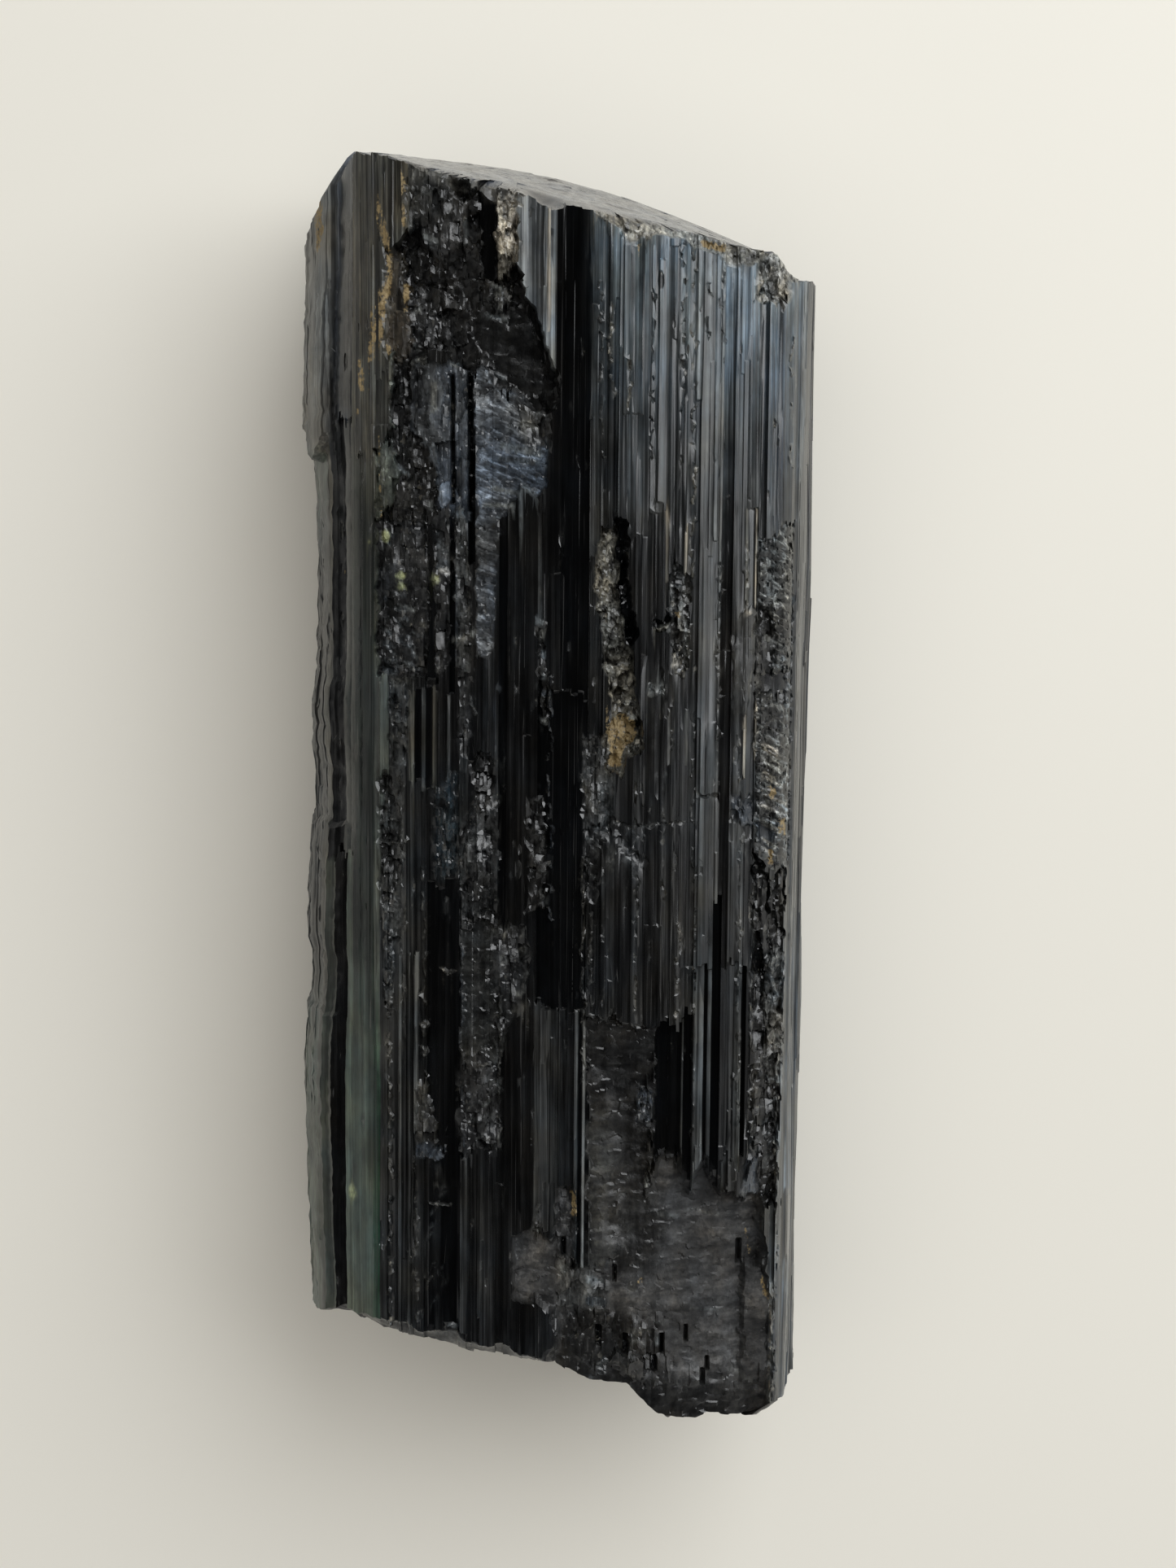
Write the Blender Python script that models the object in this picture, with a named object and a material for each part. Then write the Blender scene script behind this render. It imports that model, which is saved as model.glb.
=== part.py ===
"""A natural black tourmaline (schorl) crystal, broken off at both ends and lying on one of its faces.

blender --background --python part.py

Metres, +Z up. +Y runs along the crystal towards its smooth oblique break and +X runs across it. The origin
is under the middle of the crystal, on the plane of the face that it lies on. The crystal grew as one piece,
with a thin parallel crystal fused along its right flank, so it is one solid: a ribbed prism, broken off at
both ends, with the hollows where bundles of its columns have snapped out.
"""

import random
from math import cos, radians, tau

import bmesh
import bpy
from mathutils import Euler, Vector, noise

MM = 0.001

# Driving dimensions, in millimetres.
LENGTH = 112.2
WIDTH = 46.0
THICKNESS = 31.0

# The prism's cross-section above the flat base: (x, z) of its corners, from the base's right end over the
# front face and round to the base's left end.
BASE_RIGHT = 13.5
BASE_LEFT = -13.5
SECTION = (
    (BASE_RIGHT, 0.0), (18.8, 3.6), (21.2, 9.0), (21.6, 15.5), (21.1, 21.0), (20.75, 25.0), (18.6, 28.0),
    (10.0, 30.0), (2.0, 30.7), (-6.0, 30.3), (-12.0, 29.3), (-15.2, 28.3), (-17.9, 26.2), (-20.0, 22.6),
    (-21.8, 19.0), (-22.6, 14.5), (-21.9, 9.0), (-18.6, 3.6), (BASE_LEFT, 0.0),
)
SECTION_STEPS = 10
LEAN_DEG = 0.57  # the columns lean this far to the right of the Y axis
RIM_GAP = 0.3

# The columns of the front face, from right to left: the x where each one starts, and how far it stands out.
FRONT_COLUMNS = (
    (18.8, -0.35), (17.4, 0.10), (15.3, -0.10), (13.9, -0.45), (12.9, 0.20), (11.8, -0.15), (10.6, 0.05),
    (9.3, -0.10), (7.5, -0.30), (6.2, 0.0), (5.2, -0.25), (2.8, -0.05), (0.2, -0.60), (-1.6, -0.15),
    (-3.2, 0.05), (-5.0, -0.25), (-6.5, 0.10), (-8.6, -0.20), (-10.7, 0.05), (-12.9, -0.30), (-15.0, 0.15),
)
LEFT_GROOVE = (-19.0, -1.1)
COLUMN_WIDTHS = (1.1, 2.9)
COLUMN_LEVELS = (-0.35, 0.2)
WALL_SLOPE = 0.09

# The thin crystal fused to the right flank: its outline, where it starts and where it ends.
COMPANION = (
    (19.2, 8.0), (21.9, 9.6), (22.6, 11.6), (22.7, 14.2), (22.4, 15.0), (22.7, 15.9), (22.5, 18.6),
    (22.0, 21.4), (21.5, 23.4), (21.0, 25.0), (19.6, 25.3),
)
COMPANION_ENDS = (-53.9, 44.6)

# The flake left standing on the left flank near the smooth end.
FLAKE = (
    (-19.5, 22.4), (-20.9, 22.9), (-22.3, 20.0), (-23.0, 17.4), (-23.1, 14.0), (-22.6, 10.6), (-20.4, 9.8),
)
FLAKE_ENDS = (29.4, 55.0)

# Hollows cut from above: outline in plan (x, y), height of the floor's middle, tilt of the floor in degrees.
HOLLOWS = {
    "socket_cutter": (
        ((-12.3, 60.0), (-3.4, 60.0), (-3.1, 45.0), (-0.8, 39.9), (0.3, 33.0), (-0.9, 25.0), (-6.5, 24.7),
         (-6.8, 30.2), (-13.8, 35.6), (-14.0, 38.0), (-12.4, 45.0)),
        27.7, (1.2, -2.0),
    ),
    "plateau_cutter": (
        ((-15.2, 36.9), (-6.9, 36.2), (-6.6, 24.6), (-10.6, 23.6), (-10.5, 10.7), (-15.3, 10.6)),
        28.1, (-0.8, 2.0),
    ),
    "channel_cutter": (
        ((3.6, 23.9), (5.4, 23.5), (5.9, 15.5), (7.3, 8.5), (7.2, 5.0), (5.4, 2.0), (3.5, 1.4), (2.9, 7.1),
         (4.3, 10.6), (3.7, 16.9)),
        29.2, (0.5, 2.0),
    ),
    "flank_groove_cutter": (
        ((17.5, 22.8), (20.3, 23.8), (20.5, -5.7), (18.6, -6.0), (17.3, 5.7)),
        26.9, (0.0, -14.0),
    ),
    "slab_end_cutter": (
        ((-3.0, -20.0), (2.8, -18.7), (7.6, -20.3), (10.7, -19.9), (12.2, -30.4), (18.9, -36.0),
         (19.0, -60.0), (-3.4, -60.0)),
        28.9, (1.0, 1.2),
    ),
    "lower_break_cutter": (
        ((8.6, -33.2), (13.4, -33.0), (18.4, -37.0), (18.4, -60.0), (-3.2, -60.0), (-3.0, -44.0),
         (2.3, -37.0)),
        27.6, (2.6, -1.6),
    ),
    "left_column_cutter": (
        ((-10.6, -5.5), (-8.5, -5.5), (-8.5, -29.5), (-10.6, -29.5)),
        29.0, (0.0, 2.0),
    ),
}
HOLLOW_TOP = 34.0

# The broken ends, as heights along Y: at the front edge's middle, its slope across, and how each leans. A
# corner is given as the x where it starts, the x where it is complete, and how far it goes along Y.
SMOOTH_END = 51.2
SMOOTH_END_ACROSS = -0.24
SMOOTH_END_OUTWARD = 0.26
SMOOTH_END_TURN_Z = 15.0
SMOOTH_END_UNDERCUT = 0.16
SMOOTH_END_LEFT_CORNER = (-17.5, -23.0, 9.5)
SMOOTH_END_RIGHT_CORNER = (18.4, 20.2, 1.6)
ROUGH_END = -49.9
ROUGH_END_ACROSS = -0.25
ROUGH_END_BEVEL = (26.5, 0.55)
ROUGH_END_LEFT_CORNER = (-16.5, -20.8, 2.6)
BREAK_ROUGHNESS = 0.5
BREAK_CELLS = (23, 16)
BREAK_MARGIN = 8.0
BREAK_REACH = 30.0
SEED = 7

TOURMALINE_BLACK = (0.013, 0.014, 0.015, 1.0)


def clear_scene():
    for existing in list(bpy.data.objects):
        bpy.data.objects.remove(existing)


def collection(name):
    made = bpy.data.collections.new(name)
    bpy.context.scene.collection.children.link(made)
    return made


def tourmaline():
    material = bpy.data.materials.new("tourmaline")
    material.use_nodes = True
    shader = material.node_tree.nodes["Principled BSDF"]
    shader.inputs["Base Color"].default_value = TOURMALINE_BLACK
    shader.inputs["Roughness"].default_value = 0.22
    shader.inputs["Metallic"].default_value = 0.0
    shader.inputs["IOR"].default_value = 1.64
    return material


def smooth_line(corners, steps):
    """Points of a Catmull-Rom curve through the corners, open at its ends."""
    padded = [corners[0], *corners, corners[-1]]
    points = []
    for before, start, end, after in zip(padded, padded[1:], padded[2:], padded[3:]):
        p0, p1, p2, p3 = (Vector(p) for p in (before, start, end, after))
        for step in range(steps):
            t = step / steps
            points.append(
                0.5 * (2 * p1 + (p2 - p0) * t + (2 * p0 - 5 * p1 + 4 * p2 - p3) * t**2
                       + (3 * p1 - p0 - 3 * p2 + p3) * t**3)
            )
    points.append(Vector(corners[-1]))
    return points


def lengths_along(points):
    total = [0.0]
    for start, end in zip(points, points[1:]):
        total.append(total[-1] + (end - start).length)
    return total


def point_and_normal(points, lengths, at):
    """The point at that length along the line, and the normal on the outer side."""
    for start, end, low, high in zip(points, points[1:], lengths, lengths[1:]):
        if at <= high:
            along = (end - start).normalized()
            return start + along * (at - low), Vector((along.y, -along.x))
    along = (points[-1] - points[-2]).normalized()
    return points[-1], Vector((along.y, -along.x))


def front_boundaries(points, lengths):
    """(length along the section, level) of each column of the front face."""
    front = [(p.x, s) for p, s in zip(points, lengths) if p.y > THICKNESS * 0.86]
    found = []
    for x, level in FRONT_COLUMNS:
        nearest = min(front, key=lambda item: abs(item[0] - x))
        found.append((nearest[1], level))
    return found


def columns(points, lengths):
    """(start, level) of every column round the section: random ones on the flanks, set ones in front."""
    rng = random.Random(SEED)
    front = front_boundaries(points, lengths)
    groove = min(zip(points, lengths), key=lambda item: (item[0] - Vector((LEFT_GROOVE[0], 24.2))).length)[1]
    made = []
    at = RIM_GAP
    while at < lengths[-1] - RIM_GAP:
        if front[0][0] <= at < front[-1][0]:
            made += front
            at = front[-1][0] + 2.3
            made.append((at, 0.1))
            at = groove
            made.append((at, LEFT_GROOVE[1]))
            at += 1.9
            continue
        made.append((at, rng.uniform(*COLUMN_LEVELS)))
        step = rng.uniform(*COLUMN_WIDTHS)
        if at < front[0][0] < at + step + COLUMN_WIDTHS[0]:
            step = front[0][0] - at
        at += step
    return made


def ribbed_section():
    """The section's outline: each column is a flat between two steps, and the base is left flat."""
    points = smooth_line(SECTION, SECTION_STEPS)
    lengths = lengths_along(points)
    made = columns(points, lengths)
    ends = [start for start, _ in made[1:]] + [lengths[-1] - RIM_GAP]
    outline = [Vector(SECTION[0])]
    for (start, level), end in zip(made, ends):
        for at in (start + WALL_SLOPE, end - WALL_SLOPE):
            point, normal = point_and_normal(points, lengths, at)
            outline.append(point + normal * level)
    outline.append(Vector(SECTION[-1]))
    return outline


def prism(name, outline, low_y, high_y, home):
    """A closed mesh: the outline, drawn in X and Z, filled and extruded along Y."""
    curve = bpy.data.curves.new(name, "CURVE")
    curve.dimensions = "2D"
    curve.fill_mode = "BOTH"
    curve.extrude = (high_y - low_y) / 2 * MM
    spline = curve.splines.new("POLY")
    spline.points.add(len(outline) - 1)
    for point, (x, z) in zip(spline.points, outline):
        point.co = (x * MM, z * MM, 0.0, 1.0)
    spline.use_cyclic_u = True
    drawn = bpy.data.objects.new(name, curve)
    drawn.rotation_euler = Euler((radians(90), 0.0, radians(-LEAN_DEG)))
    drawn.location = (0.0, (high_y + low_y) / 2 * MM, 0.0)
    return as_mesh(drawn, home)


def well(name, outline, floor_z, tilt_deg, home):
    """A cutter for a hollow: the outline, drawn in X and Y, standing on a tilted floor."""
    middle = sum((Vector(p) for p in outline), Vector((0.0, 0.0))) / len(outline)
    curve = bpy.data.curves.new(name, "CURVE")
    curve.dimensions = "2D"
    curve.fill_mode = "BOTH"
    curve.extrude = (HOLLOW_TOP - floor_z) / 2 * MM
    spline = curve.splines.new("POLY")
    spline.points.add(len(outline) - 1)
    for point, (x, y) in zip(spline.points, outline):
        point.co = ((x - middle.x) * MM, (y - middle.y) * MM, 0.0, 1.0)
    spline.use_cyclic_u = True
    drawn = bpy.data.objects.new(name, curve)
    drawn.rotation_euler = Euler((radians(tilt_deg[0]), radians(tilt_deg[1]), 0.0))
    drawn.location = Vector((middle.x, middle.y, (HOLLOW_TOP + floor_z) / 2)) * MM
    return as_mesh(drawn, home)


def as_mesh(drawn, home):
    """A mesh object with the same name and place as this curve, its caps welded to its sides."""
    bpy.context.scene.collection.objects.link(drawn)
    bpy.context.view_layer.update()
    graph = bpy.context.evaluated_depsgraph_get()
    mesh = bpy.data.meshes.new_from_object(drawn.evaluated_get(graph))
    cage = bmesh.new()
    cage.from_mesh(mesh)
    bmesh.ops.remove_doubles(cage, verts=cage.verts, dist=1e-6)
    bmesh.ops.recalc_face_normals(cage, faces=cage.faces)
    cage.to_mesh(mesh)
    cage.free()
    name, place = drawn.name, drawn.matrix_world.copy()
    bpy.data.objects.remove(drawn)
    made = bpy.data.objects.new(name, mesh)
    made.matrix_world = place
    home.objects.link(made)
    return made


def ramp(value, start, end):
    """0 before the start, 1 beyond the end and even between them."""
    return max(0.0, min(1.0, (value - start) / (end - start)))


def smooth_end_y(x, z):
    """The oblique break: it leans out down to the middle, then under, and both its corners are gone."""
    bulge = cos(max(-1.0, min(1.0, x / WIDTH * 1.6)) * tau / 4)
    turn = SMOOTH_END_TURN_Z
    outward = SMOOTH_END_OUTWARD * bulge * (THICKNESS - max(z, turn))
    undercut = SMOOTH_END_UNDERCUT * max(0.0, turn - z)
    ripple = noise.noise(Vector((x, z, 0.0)) * 0.22) * BREAK_ROUGHNESS
    face = SMOOTH_END + SMOOTH_END_ACROSS * x + outward - undercut + ripple
    for start, end, depth in (SMOOTH_END_LEFT_CORNER, SMOOTH_END_RIGHT_CORNER):
        face -= depth * ramp(x, start, end) ** 1.3
    return face


def rough_end_y(x, z):
    """The hackly break: uneven, furthest out at the right, and bevelled along its upper edge."""
    coarse = noise.noise(Vector((x * 0.32, z * 0.25, 5.0)))
    fine = noise.noise(Vector((x, z, 9.0)) * 0.9)
    start, slope = ROUGH_END_BEVEL
    bevel = slope * max(0.0, z - start) * (1.0 if x < 0.0 else 0.3)
    corner_start, corner_end, reach = ROUGH_END_LEFT_CORNER
    corner = reach * ramp(x, corner_start, corner_end) * ramp(z, 27.0, 19.0)
    unevenness = BREAK_ROUGHNESS * (1.8 * coarse + 1.1 * fine)
    return ROUGH_END + ROUGH_END_ACROSS * x + bevel - corner + unevenness


def break_cutter(name, y_of, outward, home):
    """A block that ends in an uneven sheet and removes all that lies beyond it."""
    across, up = BREAK_CELLS
    block = bmesh.new()
    bmesh.ops.create_grid(block, x_segments=across, y_segments=up, size=0.5)
    for vertex in block.verts:
        x = vertex.co.x * (WIDTH + BREAK_MARGIN)
        z = THICKNESS / 2 + vertex.co.y * (THICKNESS + BREAK_MARGIN)
        vertex.co = Vector((x, y_of(x, z), z)) * MM
    grown = bmesh.ops.extrude_face_region(block, geom=block.faces[:])["geom"]
    far = [v for v in grown if isinstance(v, bmesh.types.BMVert)]
    for vertex in far:
        vertex.co.y = outward * (LENGTH / 2 + BREAK_REACH) * MM
    bmesh.ops.recalc_face_normals(block, faces=block.faces)
    mesh = bpy.data.meshes.new(name)
    block.to_mesh(mesh)
    block.free()
    made = bpy.data.objects.new(name, mesh)
    home.objects.link(made)
    return made


def combine(target, other, operation):
    step = target.modifiers.new(other.name, "BOOLEAN")
    step.object = other
    step.operation = operation
    other.hide_render = True
    other.display_type = "WIRE"


def crystal(home, helpers):
    """The whole crystal, as one object."""
    span = LENGTH / 2 + BREAK_MARGIN
    body = prism("tourmaline_crystal", ribbed_section(), -span, span, home)
    combine(body, prism("companion", COMPANION, *COMPANION_ENDS, helpers), "UNION")
    combine(body, prism("flake", FLAKE, *FLAKE_ENDS, helpers), "UNION")
    for name, (outline, floor_z, tilt_deg) in HOLLOWS.items():
        combine(body, well(name, outline, floor_z, tilt_deg, helpers), "DIFFERENCE")
    combine(body, break_cutter("smooth_end_cutter", smooth_end_y, 1, helpers), "DIFFERENCE")
    combine(body, break_cutter("rough_end_cutter", rough_end_y, -1, helpers), "DIFFERENCE")
    body.data.materials.append(tourmaline())
    return body


def centre_on_origin(body, helpers):
    """Move everything sideways so that the crystal's bounding box is centred over the origin."""
    bpy.context.view_layer.update()
    shape = body.evaluated_get(bpy.context.evaluated_depsgraph_get())
    points = [shape.matrix_world @ vertex.co for vertex in shape.data.vertices]
    for axis in (0, 1):
        reach = [point[axis] for point in points]
        middle = (min(reach) + max(reach)) / 2
        for thing in (body, *helpers.objects):
            thing.location[axis] -= middle


def main():
    clear_scene()
    home, helpers = collection("tourmaline_crystal"), collection("helpers")
    centre_on_origin(crystal(home, helpers), helpers)


main()
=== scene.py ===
"""A black tourmaline (schorl) crystal on a pale table, looked down on from just beyond its upper end.

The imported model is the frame; this script replaces its plain prism with a finely ribbed, broken and stained
mesh of the same size, and gives it a procedural material.

Lengths are in millimetres in the crystal's own frame until shape_crystal() moves them into the row frame.
Two ways of naming a place on the crystal are used:
  round, along  the distance round the cross-section from the right end of its flat base, and Y;
  seen          where the camera sees a place, on the level plane of the front face (SEEN_PLANE_Z).
"""

from math import cos, pi, radians, sin, tan

import bpy
import numpy as np
from mathutils import Euler, Matrix, Vector


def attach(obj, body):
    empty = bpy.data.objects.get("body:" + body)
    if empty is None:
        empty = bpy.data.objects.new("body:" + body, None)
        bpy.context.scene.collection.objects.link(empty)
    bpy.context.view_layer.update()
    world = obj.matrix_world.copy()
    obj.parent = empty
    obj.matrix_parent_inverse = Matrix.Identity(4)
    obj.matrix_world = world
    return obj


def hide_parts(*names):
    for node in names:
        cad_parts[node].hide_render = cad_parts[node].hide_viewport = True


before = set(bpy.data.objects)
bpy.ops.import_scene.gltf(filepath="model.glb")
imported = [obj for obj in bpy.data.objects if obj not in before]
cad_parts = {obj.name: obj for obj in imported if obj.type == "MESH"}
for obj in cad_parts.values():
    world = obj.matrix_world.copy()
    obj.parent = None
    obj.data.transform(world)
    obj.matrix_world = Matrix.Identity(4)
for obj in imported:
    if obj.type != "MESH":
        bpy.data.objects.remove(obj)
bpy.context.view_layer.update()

MM = 0.001
SEED = 11

# Where the crystal's own frame stands in the row frame, and the camera in the crystal's own frame.
ROW_SHIFT = (0.02, -1.16)
CAMERA_DISTANCE = 200.0
CAMERA_TILT_DEG = 6.0
CAMERA_TARGET = (2.8, 2.3, 30.0)
LENS_MM = 53.4
SENSOR_MM = 36.0
CAMERA_Y = CAMERA_TARGET[1] + CAMERA_DISTANCE * sin(radians(CAMERA_TILT_DEG))
CAMERA_Z = CAMERA_TARGET[2] + CAMERA_DISTANCE * cos(radians(CAMERA_TILT_DEG))
SEEN_PLANE_Z = 29.0

# The cross-section's corners, from the base's right end over the front face to the base's left end.
SECTION = (
    (13.5, 0.0), (18.8, 3.6), (21.2, 9.0), (21.6, 15.5), (21.1, 21.0), (20.75, 25.0), (18.6, 28.0),
    (10.0, 30.0), (2.0, 30.7), (-6.0, 30.3), (-12.0, 29.3), (-15.2, 28.3), (-17.9, 26.2), (-20.0, 22.6),
    (-21.8, 19.0), (-22.6, 14.5), (-21.9, 9.0), (-18.6, 3.6), (-13.5, 0.0),
)
SECTION_STEPS = 24
MIDDLE = np.array([0.0, 15.5])
FRONT_Z = 31.0
AXIS_LEAN = 0.010  # how far the columns lean to the right for each millimetre up the picture

# How closely the surface is sampled, and how many triangles are kept of it.
SEEN_STEP = 0.12
HIDDEN_STEP = 0.32
EDGE_GAP = 0.02
ROW_STEP = 0.16
CAP_STEP = 0.3
TRIANGLES = 196_000

# Albedo, roughness and depth of ribbing of each kind of surface. The paler kinds also serve, in places, as
# painted highlights and glints on narrow ribs, flakes and ridges.
SHADES = {
    "black": ((0.0014, 0.0016, 0.0018), 0.12, 0.30),
    "soot": ((0.0040, 0.0041, 0.0041), 0.20, 0.6),
    "dark": ((0.0064, 0.0069, 0.0071), 0.24, 0.9),
    "coal": ((0.0110, 0.0118, 0.0116), 0.28, 1.0),
    "grey": ((0.020, 0.0215, 0.0215), 0.32, 1.0),
    "iron": ((0.032, 0.035, 0.035), 0.34, 1.1),
    "steel": ((0.043, 0.050, 0.055), 0.36, 1.2),
    "silver": ((0.084, 0.094, 0.097), 0.38, 0.9),
    "pale": ((0.066, 0.068, 0.063), 0.40, 0.7),
    "blue": ((0.024, 0.031, 0.040), 0.28, 1.1),
    "navy": ((0.008, 0.011, 0.017), 0.20, 0.8),
    "lichen": ((0.053, 0.069, 0.056), 0.42, 0.5),
    "fern": ((0.030, 0.036, 0.030), 0.40, 0.5),
    "brown": ((0.034, 0.033, 0.026), 0.36, 1.0),
    "green": ((0.009, 0.0125, 0.0105), 0.28, 0.4),
    "mint": ((0.047, 0.062, 0.050), 0.40, 0.4),
    "bottle": ((0.011, 0.030, 0.018), 0.24, 0.5),
    "moss": ((0.050, 0.057, 0.048), 0.38, 0.7),
    "slate": ((0.025, 0.029, 0.034), 0.34, 0.8),
    "sky": ((0.037, 0.044, 0.053), 0.32, 0.7),
    "teal": ((0.006, 0.009, 0.011), 0.26, 0.8),
    "break": ((0.0074, 0.0077, 0.0079), 0.34, 0.0),
    "fracture": ((0.0195, 0.0195, 0.0192), 0.60, 0.0),
    "pit": ((0.0040, 0.0039, 0.0035), 0.28, 0.0),
    "olive": ((0.017, 0.0166, 0.0140), 0.48, 0.0),
    "umber": ((0.0064, 0.0062, 0.0056), 0.34, 0.0),
    "ash": ((0.038, 0.039, 0.037), 0.34, 0.0),
    "crystals": ((0.105, 0.101, 0.086), 0.34, 0.0),
    "sugar": ((0.066, 0.066, 0.058), 0.34, 0.0),
    "cream_highlight": ((0.22, 0.20, 0.16), 0.36, 0.5),
    "white": ((0.30, 0.30, 0.285), 0.30, 0.0),
    "lime": ((0.17, 0.185, 0.095), 0.55, 0.0),
    "rust": ((0.030, 0.024, 0.016), 0.50, 0.0),
}


# Colours of the smooth broken end, of the painted bluish sheen, and of the iron stains from thin to thick.
# The smooth end's colour is partly the break's own and partly painted reflection of the pale table.
SMOOTH_END_ALBEDO = (0.060, 0.063, 0.069)
SHEEN_COLOUR = (0.052, 0.073, 0.088)
OCHRES = ((0.160, 0.108, 0.042, 1.0), (0.250, 0.185, 0.085, 1.0))


# --- Repeatable noise ---------------------------------------------------------------------------------------


def lattice(across, along, seed):
    """A repeatable random number from 0 to 1 for each whole-numbered cell."""
    mixed = across.astype(np.int64) * 374761393 + along.astype(np.int64) * 668265263 + seed * 144269504
    mixed &= 0xFFFFFFFF
    mixed = ((mixed ^ (mixed >> 13)) * 1274126177) & 0xFFFFFFFF
    return (mixed ^ (mixed >> 16)) / 4294967296.0


def value_noise(x, y, seed):
    """Smooth noise from -1 to 1 with cells one unit wide."""
    cell_x, cell_y = np.floor(x), np.floor(y)
    part_x, part_y = x - cell_x, y - cell_y
    part_x = part_x * part_x * (3 - 2 * part_x)
    part_y = part_y * part_y * (3 - 2 * part_y)
    low = lattice(cell_x, cell_y, seed) * (1 - part_x) + lattice(cell_x + 1, cell_y, seed) * part_x
    high = lattice(cell_x, cell_y + 1, seed) * (1 - part_x) + lattice(cell_x + 1, cell_y + 1, seed) * part_x
    return 2 * (low * (1 - part_y) + high * part_y) - 1


def fractal(x, y, seed, octaves=4, keep=0.5):
    """Noise of several sizes, each half as wide as the one before."""
    total, size = 0.0, 1.0
    for octave in range(octaves):
        total = total + size * value_noise(x * 2**octave, y * 2**octave, seed + octave)
        size *= keep
    return total


def turned(share):
    """From a random number, a turn from -1 to 1 that is mostly slight."""
    turn = 2 * share - 1
    return turn * turn * turn


def facets(x, y, cell, seed, stretch=1.0):
    """Heights of a hackly break, as shares of a cell: scattered small planes, each with its own tilt."""
    u, v = x / cell, y / (cell * stretch)
    cell_u, cell_v = np.floor(u), np.floor(v)
    nearest = np.full(np.shape(u), np.inf)
    height = np.zeros(np.shape(u))
    for step_u in (-1, 0, 1):
        for step_v in (-1, 0, 1):
            at_u, at_v = cell_u + step_u, cell_v + step_v
            off_u = u - at_u - lattice(at_u, at_v, seed)
            off_v = v - at_v - lattice(at_u, at_v, seed + 1)
            apart = off_u**2 + off_v**2
            plane = lattice(at_u, at_v, seed + 2) - 0.5
            plane = plane + 1.5 * turned(lattice(at_u, at_v, seed + 3)) * off_u
            plane = plane + 1.5 * turned(lattice(at_u, at_v, seed + 4)) * off_v
            nearer = apart < nearest
            nearest = np.where(nearer, apart, nearest)
            height = np.where(nearer, plane, height)
    return height


def splinters(x, y, width, length, steepness, seed):
    """Heights of a splintery break: short upright slivers, each with its own level and lean."""
    at_x = x / width + 0.35 * value_noise(0.4 * x / width, 0.6 * y / length, seed + 7)
    column = np.floor(at_x)
    at_y = y / length + 9.7 * lattice(column, 0 * column, seed)
    row = np.floor(at_y)
    level = lattice(column, row, seed + 1) - 0.5
    lean_x = turned(lattice(column, row, seed + 2)) * (at_x - column - 0.5)
    lean_y = turned(lattice(column, row, seed + 3)) * (at_y - row - 0.5)
    return steepness * width * (level + 1.5 * lean_x + 1.5 * lean_y)


# --- The cross-section --------------------------------------------------------------------------------------


def smooth_line(corners, steps):
    """Points of a Catmull-Rom curve through the corners, open at its ends."""
    padded = np.array([corners[0], *corners, corners[-1]])
    t = np.arange(steps)[:, None] / steps
    pieces = []
    for p0, p1, p2, p3 in zip(padded, padded[1:], padded[2:], padded[3:]):
        pieces.append(
            0.5 * (2 * p1 + (p2 - p0) * t + (2 * p0 - 5 * p1 + 4 * p2 - p3) * t**2
                   + (3 * p1 - p0 - 3 * p2 + p3) * t**3)
        )
    return np.vstack([*pieces, padded[-1:]])


class Section:
    """The closed cross-section, as a function of the distance round it."""

    def __init__(self):
        line = smooth_line(SECTION, SECTION_STEPS)
        line = np.vstack([line, line[:1]])
        steps = np.hypot(*np.diff(line, axis=0).T)
        self.line = line
        self.round = np.concatenate([[0.0], np.cumsum(steps)])
        self.base_start = self.round[-2]
        self.total = self.round[-1]
        tangent = np.gradient(line, self.round, axis=0)
        normal = np.stack([tangent[:, 1], -tangent[:, 0]], axis=1)
        self.normal = normal / np.hypot(*normal.T)[:, None]

    def at(self, where):
        """The point, as X and Z, at each distance round."""
        return np.stack([np.interp(where, self.round, self.line[:, k]) for k in (0, 1)], axis=1)

    def normal_at(self, where):
        """The outward direction, as X and Z, at each distance round."""
        found = np.stack([np.interp(where, self.round, self.normal[:, k]) for k in (0, 1)], axis=1)
        found[where >= self.base_start] = (0.0, -1.0)
        return found / np.hypot(*found.T)[:, None]


def shrink(z):
    """How much nearer the picture's middle a place at height z looks than one on the seen plane."""
    return (CAMERA_Z - SEEN_PLANE_Z) / (CAMERA_Z - z)


def seen_across(points):
    """The X at which the camera sees points of the section, on the seen plane."""
    return CAMERA_TARGET[0] + (points[:, 0] - CAMERA_TARGET[0]) * shrink(points[:, 1])


def seen_along(y, points):
    """The Y at which the camera sees places along the crystal, on the seen plane."""
    return CAMERA_Y + (y - CAMERA_Y) * shrink(points[:, 1])[:, None]


# --- Ribs ---------------------------------------------------------------------------------------------------


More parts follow.
